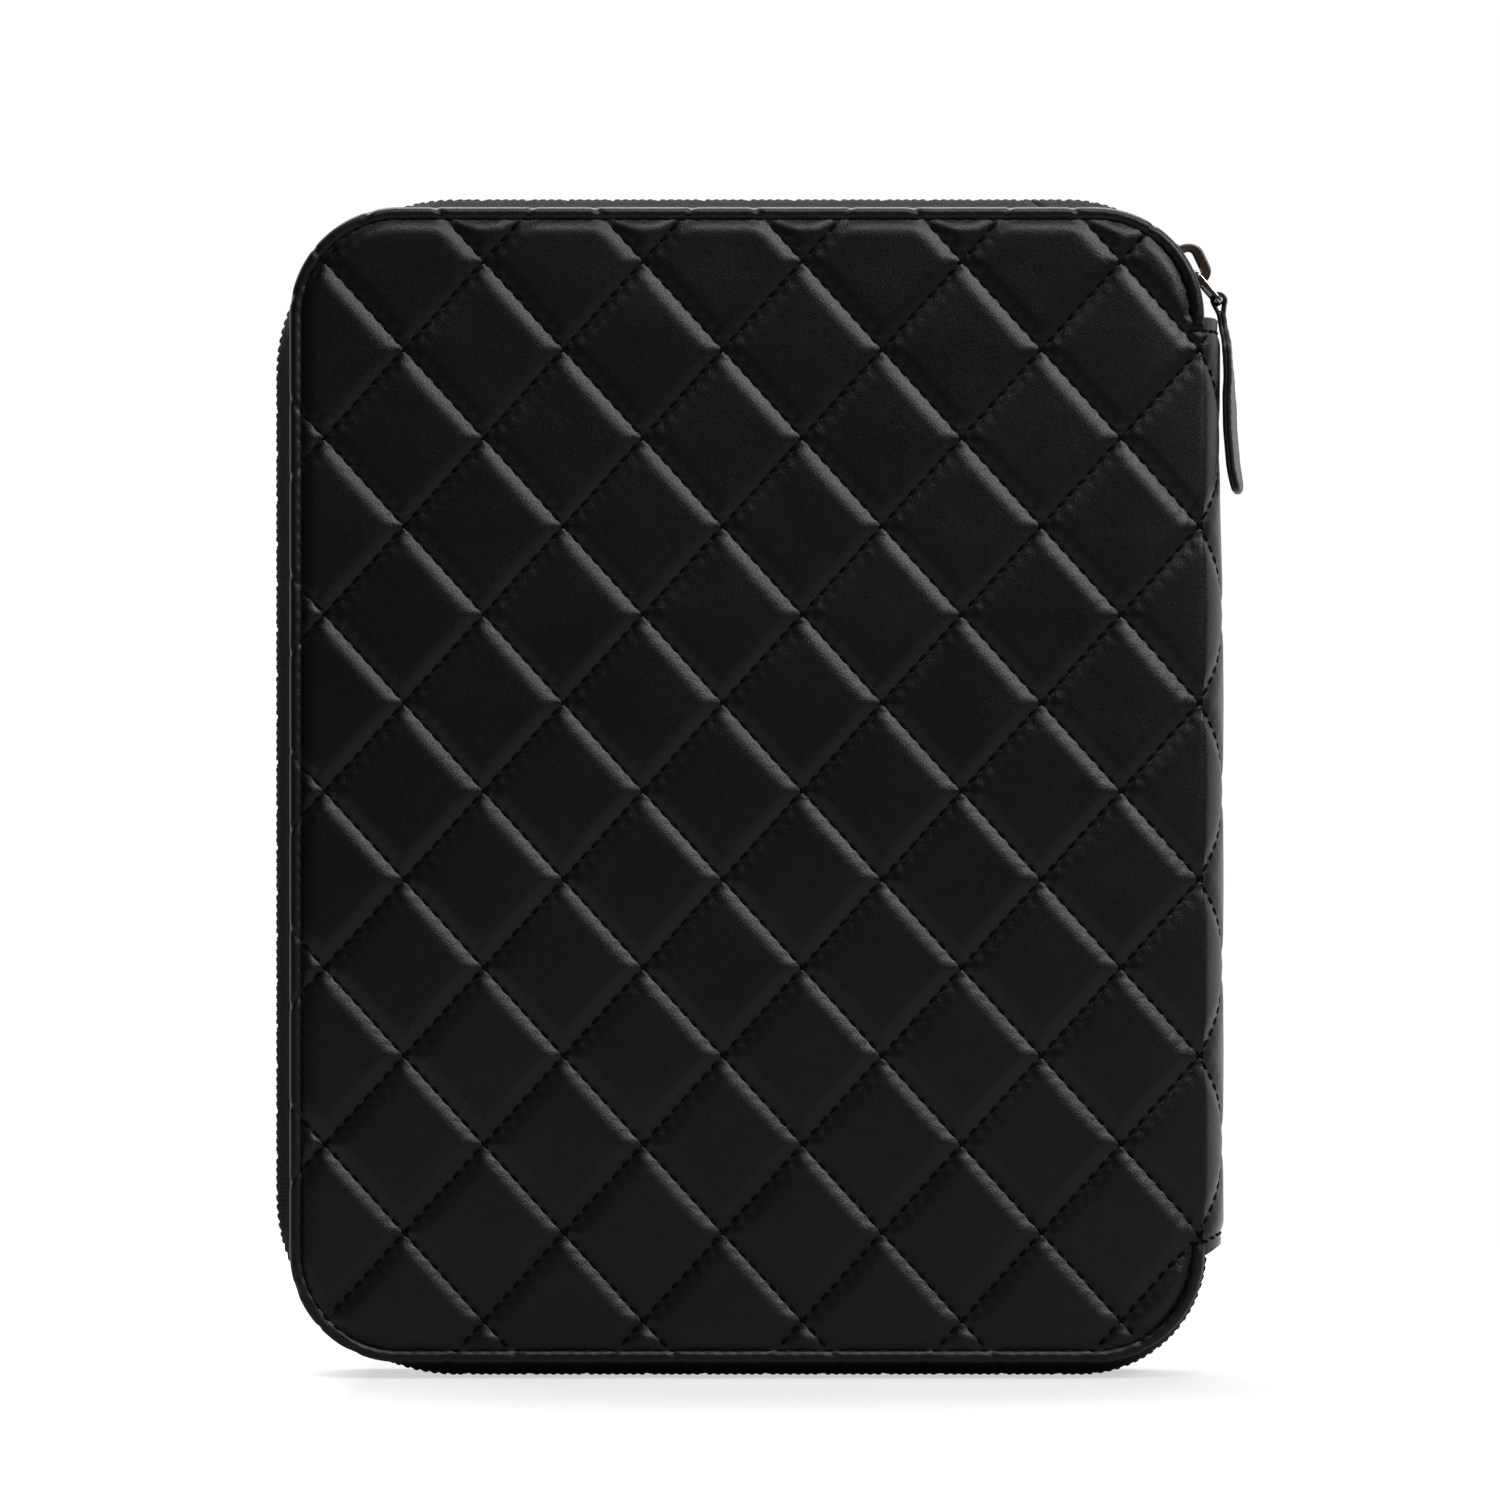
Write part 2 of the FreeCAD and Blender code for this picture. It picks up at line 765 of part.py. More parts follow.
everything = Part.makeCompound([solid for solids in nodes.values() for solid in solids])
bounds = everything.BoundBox
to_frame = Vector(-(bounds.XMin + bounds.XMax) / 2, 0, -bounds.ZMin)
for name, solids in nodes.items():
    shape = solids[0] if len(solids) == 1 else Part.makeCompound(solids)
    shape = shape.copy()
    shape.translate(to_frame)
    shape.exportStep("parts/" + name + ".step")
    print(name, len(solids), round(shape.Volume, 1), shape.isValid())

pivot_set = fold_radius * math.pi / 4
fold_pivot = Vector(fold_line + pivot_set, half_depth - fold_radius + pivot_set, 0)
print("fold pivot", fold_pivot + to_frame)
print("corner centre", corner_high + to_frame)
print("link pin", link_pin + to_frame, "tab pin", tab_pin + to_frame)
print("bounds", bounds, "moved", to_frame)
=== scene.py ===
import json
import math
import bpy
import bmesh
from mathutils import Matrix, Vector, noise


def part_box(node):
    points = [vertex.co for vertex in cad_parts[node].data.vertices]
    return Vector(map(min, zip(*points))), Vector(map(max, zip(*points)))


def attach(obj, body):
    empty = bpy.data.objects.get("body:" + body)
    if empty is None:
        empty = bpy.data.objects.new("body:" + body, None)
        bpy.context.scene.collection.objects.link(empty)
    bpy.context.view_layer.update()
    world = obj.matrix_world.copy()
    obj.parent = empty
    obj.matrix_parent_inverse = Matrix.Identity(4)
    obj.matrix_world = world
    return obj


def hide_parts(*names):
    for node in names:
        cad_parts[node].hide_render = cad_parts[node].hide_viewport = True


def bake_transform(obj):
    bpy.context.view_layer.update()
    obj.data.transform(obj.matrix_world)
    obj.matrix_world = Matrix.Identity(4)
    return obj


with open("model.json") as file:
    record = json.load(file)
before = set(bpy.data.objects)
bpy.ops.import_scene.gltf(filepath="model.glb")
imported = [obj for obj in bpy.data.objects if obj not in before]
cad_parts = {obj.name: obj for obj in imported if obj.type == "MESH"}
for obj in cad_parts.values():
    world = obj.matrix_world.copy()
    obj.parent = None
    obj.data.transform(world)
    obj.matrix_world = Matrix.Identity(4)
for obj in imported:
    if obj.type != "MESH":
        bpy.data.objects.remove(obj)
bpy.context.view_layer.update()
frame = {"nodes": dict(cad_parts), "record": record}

mm = 0.001
weld = 1e-6  # points closer than this are one point
tiny = 1e-7
coverLow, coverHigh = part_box("front_quilted_leather")
spineLow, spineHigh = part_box("spine_quilted_leather")

# sizes shared by all the pieces, taken from the frame where it has them
case = {
    "left": coverLow.x,
    "low": coverLow.z,
    "high": coverHigh.z,
    "face": coverLow.y,
    "spineX": spineHigh.x,
    "spineLow": spineLow.z,
    "spineHigh": spineHigh.z,
    "bulge": 3.2 * mm,  # the spine's back stands this far beyond the covers
    "foldRound": 12.5 * mm,
    "foldTurn": math.radians(48),
    "bendRun": 4.0 * mm,
    "roll": 1.2 * mm,  # a cover falls away by this much towards its fold
    "rollReach": 16 * mm,
    "cornerRound": 23.4 * mm,
    "chainReach": 2.8 * mm,  # the zip's middle line outside the covers' edge
    "chainTuck": 2.5 * mm,
    "lowProud": 3.0 * mm,
    "leftEase": 14.5 * mm,
}
case["right"] = case["spineX"] - case["bulge"]
case["middle"] = (case["low"] + case["high"]) / 2
case["lean"] = math.atan(2 * case["roll"] / case["rollReach"])
case["foldX"] = case["spineX"] - case["foldRound"] * (1 - math.sin(case["foldTurn"]))
case["foldY"] = case["face"] + case["roll"] + case["foldRound"] * math.cos(case["foldTurn"])
foldArc = case["foldRound"] * (math.pi / 2 - case["foldTurn"])
rearward = Vector((0, 1, 0))
flipY = Matrix.Scale(-1, 4, rearward)


def smooth(t):
    t = min(max(t, 0.0), 1.0)
    return t * t * (3 - 2 * t)


# chance height at a flat point, with so many waves per metre
def ripple(x, z, rate, seed):
    return noise.noise(Vector((x * rate, z * rate, seed)))


def newPiece(name, bm, material):
    mesh = bpy.data.meshes.new(name)
    for face in bm.faces:
        face.smooth = True
    bm.to_mesh(mesh)
    bm.free()
    mesh.materials.append(material)
    piece = bpy.data.objects.new(name, mesh)
    bpy.context.scene.collection.objects.link(piece)
    return piece


def thicken(piece, thickness):
    modifier = piece.modifiers.new("thickness", "SOLIDIFY")
    modifier.thickness = thickness
    modifier.offset = -1


# a piece of the front cover and its mirror image on the rear one, each with its side
def bothSides(front):
    bm = bmesh.new()
    bm.from_mesh(front.data)
    bm.transform(flipY)
    bmesh.ops.reverse_faces(bm, faces=bm.faces)
    rear = newPiece(front.name.replace("front", "rear"), bm, front.data.materials[0])
    for modifier in front.modifiers:
        thicken(rear, modifier.thickness)
    return (front, "front"), (rear, "rear")


# the body that carries a piece, its slot name, which is not used, and the nodes that it stands for
def fit(piece, body, slotName, *nodes):
    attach(piece, body)
    if nodes:
        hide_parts(*nodes)


# corner centres and radii, clockwise from the lower right one
def roundedLoop(left, right, low, high, leftRound, rightRound):
    return [
        (Vector((right - rightRound, low + rightRound)), rightRound),
        (Vector((left + leftRound, low + leftRound)), leftRound),
        (Vector((left + leftRound, high - leftRound)), leftRound),
        (Vector((right - rightRound, high - rightRound)), rightRound),
    ]


coverLoop = roundedLoop(
    case["left"], case["right"], case["low"], case["high"], case["cornerRound"], case["cornerRound"]
)
chainLoop = roundedLoop(
    case["left"] - case["chainReach"],
    case["right"] - case["chainTuck"],
    case["low"] - case["chainReach"],
    case["high"] + case["chainReach"],
    case["cornerRound"] + case["leftEase"],
    case["cornerRound"] + case["chainReach"],
)
chainLoop[0][0].x += case["lowProud"]


# stations round the case: corner, angle, share of the straight after it
def loopStations(step, cornerSteps):
    stations = []
    for corner in range(4):
        for i in range(cornerSteps + 1):
            stations.append((corner, -90 * corner - 90 * i / cornerSteps, 0.0))
        if corner < 3:
            gap = coverLoop[corner + 1][0] - coverLoop[corner][0]
            count = max(1, round(gap.length / step))
            for i in range(1, count):
                stations.append((corner, -90 * corner - 90, i / count))
    return stations


def loopPoint(loop, station, offset=0.0):
    corner, angle, share = station
    turn = math.radians(angle)
    out = Vector((math.cos(turn), math.sin(turn)))
    centre, radius = loop[corner]
    point = centre + out * (radius + offset)
    if share:
        centre, radius = loop[corner + 1]
        point = point.lerp(centre + out * (radius + offset), share)
    return point, out


# a grid whose columns are stations and whose rows are profile steps; its UV map is in metres
def sweptGrid(columns, rows, place):
    bm = bmesh.new()
    bmesh.ops.create_grid(bm, x_segments=columns - 1, y_segments=rows - 1, size=0.5)
    layer = bm.loops.layers.uv.new("run")
    line = {}
    spot = {}
    for v in bm.verts:
        i = round((v.co.x + 0.5) * (columns - 1))
        j = round((v.co.y + 0.5) * (rows - 1))
        spot[v] = (i, j)
        line[(i, j)] = v
    for v, (i, j) in spot.items():
        v.co = place(i, j)
    run = [0.0]
    rise = [0.0]
    for i in range(1, columns):
        run.append(run[-1] + (line[(i, rows // 2)].co - line[(i - 1, rows // 2)].co).length)
    for j in range(1, rows):
        rise.append(rise[-1] + (line[(columns // 2, j)].co - line[(columns // 2, j - 1)].co).length)
    for face in bm.faces:
        for loop in face.loops:
            i, j = spot[loop.vert]
            loop[layer].uv = (run[i], rise[j])
    return bm


# a swept grid whose rows go round, with its ends closed
def sweptBar(columns, rows, place):
    bm = sweptGrid(columns, rows, place)
    bmesh.ops.remove_doubles(bm, verts=bm.verts, dist=2 * weld)
    bmesh.ops.holes_fill(bm, edges=[e for e in bm.edges if e.is_boundary], sides=0)
    bmesh.ops.recalc_face_normals(bm, faces=bm.faces)
    return bm


# turns all faces round if most of them look away from what is outside
def lookOutward(bm, outward):
    bm.normal_update()
    total = sum(f.normal.dot(outward(f.calc_center_median())) * f.calc_area() for f in bm.faces)
    if total < 0:
        bmesh.ops.reverse_faces(bm, faces=bm.faces)
        bm.normal_update()


def addCopies(bm, template, places):
    mesh = bpy.data.meshes.new("template")
    template.to_mesh(mesh)
    for matrix in places:
        mesh.transform(matrix)
        bm.from_mesh(mesh)
        mesh.transform(matrix.inverted())
    bpy.data.meshes.remove(mesh)
    return bm


# lays a template at a place, with its length along heading and its top towards up
def laid(place, heading, up):
    heading = heading.normalized()
    across = up.cross(heading).normalized()
    matrix = Matrix((heading, across, heading.cross(across))).transposed().to_4x4()
    matrix.translation = place
    return matrix


def bevelEdges(bm, edges, width, segments):
    bmesh.ops.bevel(
        bm, geom=edges, offset=width, offset_type="OFFSET", segments=segments, profile=0.5,
        affect="EDGES", clamp_overlap=True, material=-1,
    )


# finishes, all from nodes; what is the same all over stands on the shader's own sockets
def startMaterial(name, fixed):
    material = bpy.data.materials.new(name)
    material.use_nodes = True
    tree = material.node_tree
    shader = tree.nodes["Principled BSDF"]
    for key, value in fixed.items():
        shader.inputs[key].default_value = value
    return material, tree, shader


def addNode(tree, kind, inputs=None, **values):
    node = tree.nodes.new("ShaderNode" + kind)
    for key, value in values.items():
        setattr(node, key, value)
    for key, value in (inputs or {}).items():
        if hasattr(value, "is_linked"):
            tree.links.new(value, node.inputs[key])
        else:
            node.inputs[key].default_value = value
    return node


def nodeOut(tree, kind, output, inputs=None, **values):
    return addNode(tree, kind, inputs, **values).outputs[output]


def objectPlace(tree):
    return nodeOut(tree, "TexCoord", "Object")


def ramp(tree, source, low, high, fromLow, fromHigh):
    sizes = {"From Min": fromLow, "From Max": fromHigh, "To Min": low, "To Max": high, "Value": source}
    return nodeOut(tree, "MapRange", "Result", sizes)


def combine(tree, operation, a, b):
    return nodeOut(tree, "Math", "Value", {0: a, 1: b}, operation=operation)


def noiseNode(tree, place, size, detail=2.0, distortion=0.0):
    inputs = {"Vector": place, "Scale": 1 / size, "Detail": detail, "Distortion": distortion}
    return nodeOut(tree, "TexNoise", "Fac", inputs)


def stretched(tree, place, scale):
    return nodeOut(tree, "Mapping", "Vector", {"Vector": place, "Scale": scale})


# base colour from dark to light where the source runs from low to high
def tint(tree, shader, source, look, low, high):
    node = addNode(tree, "ValToRGB", {"Fac": source})
    for element, place, colour in zip(node.color_ramp.elements, (low, high), (look["dark"], look["light"])):
        element.position = place
        element.color = (*colour, 1)
    tree.links.new(node.outputs["Color"], shader.inputs["Base Color"])


def addBump(tree, shader, height, strength, depth):
    normal = nodeOut(tree, "Bump", "Normal", {"Height": height, "Strength": strength, "Distance": depth})
    tree.links.new(normal, shader.inputs["Normal"])


hideLook = {
    "swirl": 22 * mm,
    "swirlReach": 7 * mm,
    "fine": 0.30 * mm,
    "stretch": (1.7, 1.0, 0.8),
    "pore": 0.55 * mm,
    "poreShare": 0.4,
    "patch": 30 * mm,
    "bump": 0.8,
    "grainDepth": 0.08 * mm,
    "dark": (0.0018, 0.0018, 0.0020),
    "light": (0.0034, 0.0034, 0.0036),
    "rough": (0.42, 0.32),
    "specular": 0.36,
}


def leatherMaterial(name, **changes):
    look = dict(hideLook, **changes)
    material, tree, shader = startMaterial(name, {"Specular IOR Level": look["specular"]})
    place = objectPlace(tree)
    drift = nodeOut(tree, "TexNoise", "Color", {"Vector": place, "Scale": 1 / look["swirl"], "Detail": 1.0})
    swirl = {0: drift, 1: (look["swirlReach"],) * 3, 2: place}
    swirled = nodeOut(tree, "VectorMath", "Vector", swirl, operation="MULTIPLY_ADD")
    fine = noiseNode(tree, stretched(tree, swirled, look["stretch"]), look["fine"], distortion=0.4)
    cells = {"Vector": swirled, "Scale": 1 / look["pore"], "Smoothness": 0.5}
    pores = nodeOut(tree, "TexVoronoi", "Distance", cells, feature="SMOOTH_F1")
    grain = combine(tree, "ADD", fine, combine(tree, "MULTIPLY", pores, look["poreShare"]))
    addBump(tree, shader, grain, look["bump"], look["grainDepth"])
    tint(tree, shader, noiseNode(tree, place, look["patch"]), look, 0.3, 0.7)
    tree.links.new(ramp(tree, grain, *look["rough"], 0.35, 1.0), shader.inputs["Roughness"])
    return material


lambskin = leatherMaterial("lambskin")
rimLeather = leatherMaterial("rim_lambskin", fine=0.4 * mm, rough=(0.45, 0.34))
pullLeather = leatherMaterial(
    "pull_calf", fine=0.34 * mm, pore=0.5 * mm, bump=0.55, rough=(0.46, 0.34), swirl=9 * mm
)
innerLeather = leatherMaterial(
    "inner_nappa", fine=0.4 * mm, rough=(0.55, 0.44),
    dark=(0.008, 0.008, 0.0085), light=(0.014, 0.0135, 0.014),
)


def suedeMaterial(name, look):
    material, tree, shader = startMaterial(name, {
        "Roughness": 0.92, "Specular IOR Level": 0.15, "Sheen Weight": look["sheen"], "Sheen Roughness": 0.45,
    })
    place = objectPlace(tree)
    nap = noiseNode(tree, stretched(tree, place, look["stretch"]), look["nap"], detail=4.0, distortion=0.3)
    brushed = noiseNode(tree, place, look["patch"], detail=3.0, distortion=0.8)
    tone = combine(tree, "ADD", *(combine(tree, "MULTIPLY", part, 0.5) for part in (nap, brushed)))
    tint(tree, shader, tone, look, 0.35, 0.65)
    addBump(tree, shader, nap, strength=0.6, depth=0.12 * mm)
    return material


charcoalSuede = suedeMaterial("charcoal_suede", {
    "nap": 0.32 * mm, "stretch": (1.0, 1.0, 0.55), "patch": 14 * mm,
    "dark": (0.030, 0.028, 0.028), "light": (0.058, 0.055, 0.054), "sheen": 0.35,
})
liningSuede = suedeMaterial("lining_microsuede", {
    "nap": 0.4 * mm, "stretch": (1.0, 1.0, 0.55), "patch": 22 * mm,
    "dark": (0.018, 0.017, 0.017), "light": (0.032, 0.030, 0.030), "sheen": 0.25,
})


def threadMaterial(name, colour, specular):
    material, tree, shader = startMaterial(name, {"Roughness": 0.7, "Specular IOR Level": specular})
    lay = noiseNode(tree, objectPlace(tree), 0.25 * mm)
    addBump(tree, shader, lay, strength=0.5, depth=0.05 * mm)
    tint(tree, shader, lay, {"dark": tuple(c * 0.6 for c in colour), "light": colour}, 0.3, 0.7)
    return material


blackThread = threadMaterial("black_thread", (0.0016, 0.0016, 0.0017), 0.06)
pullThread = threadMaterial("grey_thread", (0.05, 0.05, 0.052), 0.4)


def wovenMaterial(name, look):
    material, tree, shader = startMaterial(name, {
        "Roughness": 0.8, "Sheen Weight": look["sheen"], "Sheen Roughness": 0.4, "Specular IOR Level": 0.25,
    })
    place = nodeOut(tree, "UVMap", "UV", uv_map="run")
    yarns = []
    for turn in (0.0, math.pi / 2):
        turning = {"Vector": place, "Rotation": (0, 0, turn + look["twill"])}
        turned = nodeOut(tree, "Mapping", "Vector", turning)
        waves = {"Vector": turned, "Scale": look["yarns"], "Distortion": 0.6}
        yarns.append(nodeOut(tree, "TexWave", "Fac", waves))
    weave = combine(tree, "MULTIPLY", *yarns)
    addBump(tree, shader, weave, strength=0.7, depth=0.12 * mm)
    tint(tree, shader, weave, look, 0.1, 0.8)
    return material


zipTapeCloth = wovenMaterial("zip_tape_cloth", {
    "twill": 0.5, "yarns": 1 / (0.22 * mm * 6.28), "sheen": 0.06,
    "dark": (0.003, 0.003, 0.003), "light": (0.010, 0.010, 0.011),
})


def metalMaterial(name, look):
    material, tree, shader = startMaterial(name, {"Metallic": look["metal"]})
    place = objectPlace(tree)
    wear = noiseNode(tree, place, look["patch"], detail=4.0)
    addBump(tree, shader, noiseNode(tree, place, 0.4 * mm), strength=0.15, depth=0.02 * mm)
    tint(tree, shader, wear, look, 0.35, 0.65)
    tree.links.new(ramp(tree, wear, *look["rough"], 0.3, 0.7), shader.inputs["Roughness"])
    return material


toothMetal = metalMaterial("black_zip_teeth", {
    "patch": 3 * mm, "dark": (0.010, 0.009, 0.009), "light": (0.024, 0.021, 0.019),
    "rough": (0.34, 0.48), "metal": 0.3,
})
bailMetal = metalMaterial("dark_plated_metal", {
    "patch": 4 * mm, "dark": (0.075, 0.056, 0.046), "light": (0.115, 0.090, 0.076),
    "rough": (0.36, 0.46), "metal": 1.0,
})
linkMetal = metalMaterial("bright_plated_metal", {
    "patch": 3 * mm, "dark": (0.40, 0.37, 0.33), "light": (0.60, 0.57, 0.52),
    "rough": (0.14, 0.24), "metal": 1.0,
})

boardLook = {
    "fibre": 1.1 * mm, "stretch": (0.4, 1.0, 1.6), "dark": (0.16, 0.15, 0.13), "light": (0.27, 0.25, 0.22),
}
greyBoard, tree, shader = startMaterial("grey_board", {"Roughness": 0.95})
lengthwise = stretched(tree, objectPlace(tree), boardLook["stretch"])
fibre = noiseNode(tree, lengthwise, boardLook["fibre"], detail=5.0)
tint(tree, shader, fibre, boardLook, 0.3, 0.7)
addBump(tree, shader, fibre, strength=0.3, depth=0.06 * mm)
for node in ("front_board", "rear_board", "spine_board"):
    for holder in frame["nodes"][node].material_slots:
        holder.material = greyBoard
print("materials ready")

# the quilted hide runs from the edge seam over a cover, round the fold, to the spine's middle
quilt = {
    "pitchX": 33.9 * mm,
    "pitchZ": 37.6 * mm,
    "shiftX": case["foldX"] - case["spineX"] + 4.0 * mm,
    "shiftZ": -1.3 * mm,
    "span": 14,  # squares across the uncut grid, and how many of them lie before the lattice's zero
    "before": (5, 4),
    "cells": 34,
    "crowding": 0.5,
    "depth": 1.42 * mm,
    "shoulder": 3.9 * mm,
    "power": 1.95,
    "dome": 0.12 * mm,
    "pucker": 0.05 * mm,
    "puckerReach": 3.0 * mm,
    "puckerRate": 300,  # rates are per metre
    "uneven": 0.09 * mm,
    "unevenRates": (60, 140),
    "foldShare": 0.62,  # share of the depth that is left round the fold
    "foldFrom": 3.8 * mm,
    "foldRun": 7 * mm,
    "calmRun": 8 * mm,
    "edgeSeam": 2.7 * mm,
    "edgeShoulder": 3.0 * mm,
    "joinX": 2.3 * mm,
    "joinSoft": 5.0 * mm,
    "endSeam": 2.6 * mm,
    "endBand": 0.6 * mm,
    "endBandRun": 0.5 * mm,
    "endSlant": (-1.2 * mm, 0.7 * mm),
    "slantReach": 9 * mm,
    "slantEase": 4 * mm,
    "turnIn": ((0.22, 0.26), (0.5, 0.16), (0.6, -0.12), (0.35, -0.5), (0.1, -2.6)),
    "spineSwell": 1.0 * mm,
    "lowSwell": 0.75,  # share by which the swell grows lower down
    "lowFrom": 190 * mm,
    "lowRun": 30 * mm,
    "gapRise": 0.12 * mm,
    "gapReach": 0.85 * mm,
    "notch": 0.2 * mm,
    "pinch": 0.08 * mm,
    "pinchReach": 1.1 * mm,
}
stitch = {
    "length": 2.1 * mm, "pitch": 3.15 * mm, "wide": 0.74 * mm, "high": 0.44 * mm, "rise": 0.24 * mm,
    "clear": 0.6 * mm, "edgePitch": 3.3 * mm, "edgeDeep": 1.42 * mm, "edgeShift": 0.1 * mm,
}
seamZ = case["middle"] + quilt["shiftZ"] + quilt["pitchZ"] / 2
seamSpacing = 1 / math.hypot(1 / quilt["pitchX"], 1 / quilt["pitchZ"])
seamSide = math.hypot(quilt["pitchX"], quilt["pitchZ"]) / 2
halfSpine = quilt["pitchX"] / 2 - quilt["shiftX"]
stitchWave = 2 * math.pi * seamSide / stitch["pitch"]


def lattice(s, z):
    across = (s - quilt["shiftX"]) / quilt["pitchX"]
    up = (z - seamZ) / quilt["pitchZ"]
    return across + up, across - up


def offLattice(p, q):
    return (p + q) / 2 * quilt["pitchX"] + quilt["shiftX"], seamZ + (p - q) / 2 * quilt["pitchZ"]


# flat hide to its place: s runs left from the fold, and below zero round the fold onto the spine
def onCase(s, z, lift):
    if s >= 0:
        near = max(1 - s / case["rollReach"], 0)
        lean = case["lean"] * near
        y = case["face"] + case["roll"] * near**2 - lift * math.cos(lean)
        return Vector((case["foldX"] - s + lift * math.sin(lean), y, z))
    swell = quilt["spineSwell"] * smooth(-s / halfSpine)
    swell *= 1 + quilt["lowSwell"] * smooth((quilt["lowFrom"] - z) / quilt["lowRun"])
    if s > -foldArc:
        turn = case["foldTurn"] - s / case["foldRound"]
        reach = case["foldRound"] + lift
        x = case["spineX"] - case["foldRound"] + swell + reach * math.sin(turn)
        return Vector((x, case["foldY"] - reach * math.cos(turn), z))
    web = (-s - foldArc) / (halfSpine - foldArc)
    return Vector((case["spineX"] + swell + lift, case["foldY"] * (1 - web), z))


# how far a flat point lies inside the edge seam of the cover
def insideEdge(s, z):
    x = case["foldX"] - s
    inset = case["cornerRound"]
    px = max(case["left"] + inset - x, 0, x - case["right"] + inset)
    pz = max(case["low"] + inset - z, 0, z - case["high"] + inset)
    return inset - math.hypot(px, pz) - quilt["edgeSeam"]


def fromEnd(z):
    return min(z - case["spineLow"], case["spineHigh"] - z)


def shoulder(distance, reach):
    return 1 - (1 - min(max(distance / reach, 0.0), 1.0)) ** quilt["power"]


# the lesser of two distances, with its corner eased a little
def nearest(a, b, ease=5):
    return (max(a, weld) ** -ease + max(b, weld) ** -ease) ** (-1 / ease)


# height over the crown of the puffs
def hideLift(s, z):
    p, q = lattice(s, z)
    runP = math.cos(q * stitchWave)
    runQ = math.cos(p * stitchWave)
    fromP = abs(p - round(p)) * seamSpacing
    fromQ = abs(q - round(q)) * seamSpacing
    sideP = fromP + quilt["notch"] * min(fromP / mm, 1) * runP
    sideQ = fromQ + quilt["notch"] * min(fromQ / mm, 1) * runQ
    near = nearest(sideP, sideQ)
    end = fromEnd(z) - quilt["endSeam"]
    onSpine = smooth((quilt["joinX"] - s) / quilt["joinSoft"] + 0.5)
    if fromEnd(z) > 0 and s < case["cornerRound"]:
        edge = min(z - case["low"], case["high"] - z) - quilt["edgeSeam"]
    else:
        edge = insideEdge(s, z)
    trim = shoulder(edge, quilt["edgeShoulder"]) * (1 - onSpine)
    trim += shoulder(end, quilt["edgeShoulder"]) * onSpine
    full = shoulder(near, quilt["shoulder"]) * trim
    shallow = smooth((quilt["foldFrom"] - s) / quilt["foldRun"])
    depth = quilt["depth"] * (1 - (1 - quilt["foldShare"]) * shallow)
    dome = math.sin(math.pi * (p - math.floor(p))) * math.sin(math.pi * (q - math.floor(q)))
    close = math.exp(-min(near, max(edge, 0)) / quilt["puckerReach"])
    ahead, line, seed = (q, p, 3.1) if fromP < fromQ else (p, q, 7.7)
    gather = noise.noise(Vector((ahead * seamSide * quilt["puckerRate"], line * 2.0, seed)))
    coarse, fine = quilt["unevenRates"]
    uneven = ripple(s, z, coarse, 0.0) + 0.5 * ripple(s, z, fine, 0.0)
    calm = smooth((s + halfSpine) / quilt["calmRun"])
    lift = depth * (full - 1) + quilt["dome"] * (dome - 1) * full
    lift += calm * full * (quilt["pucker"] * gather * close + quilt["uneven"] * uneven)
    for far, run in ((fromP, runP), (fromQ, runQ)):
        lift += quilt["gapRise"] * (0.5 - 0.5 * run) * math.exp(-((far / quilt["gapReach"]) ** 2)) * trim
    if end < 0 and onSpine > 0:
        band = -quilt["endBand"] - (depth - quilt["endBand"]) * math.exp(end / quilt["endBandRun"])
        lift = lift * (1 - onSpine) + band * onSpine
    return lift


# moves grid lines closer to the seams
def crowd(t):
    whole = math.floor(t + tiny)
    part = t - whole
    return whole + part - quilt["crowding"] * math.sin(2 * math.pi * part) / (2 * math.pi)


def region(bm, wanted):
    geom = set()
    for face in bm.faces:
        if wanted(face.calc_center_median()):
            geom.add(face)
            geom.update(face.verts)
            geom.update(face.edges)
    return list(geom)


def cutAway(bm, geom, point, normal, clear=True):
    return bmesh.ops.bisect_plane(
        bm, geom=geom, dist=tiny, plane_co=point, plane_no=normal, clear_outer=clear
    )["geom"]


# trims the corners of a flat cut to arcs
def roundCorners(bm, corners, radius, steps, within=lambda c: True):
    for centre, wayX, wayZ in corners:
        geom = region(
            bm, lambda c: (c.x - centre.x) * wayX > 0 and (c.y - centre.y) * wayZ > 0 and within(c)
        )
        for i in range(steps + 1):
            turn = math.pi / 2 * i / steps
            normal = Vector((wayX * math.cos(turn), wayZ * math.sin(turn), 0))
            geom = cutAway(bm, geom, centre + normal * radius, normal)


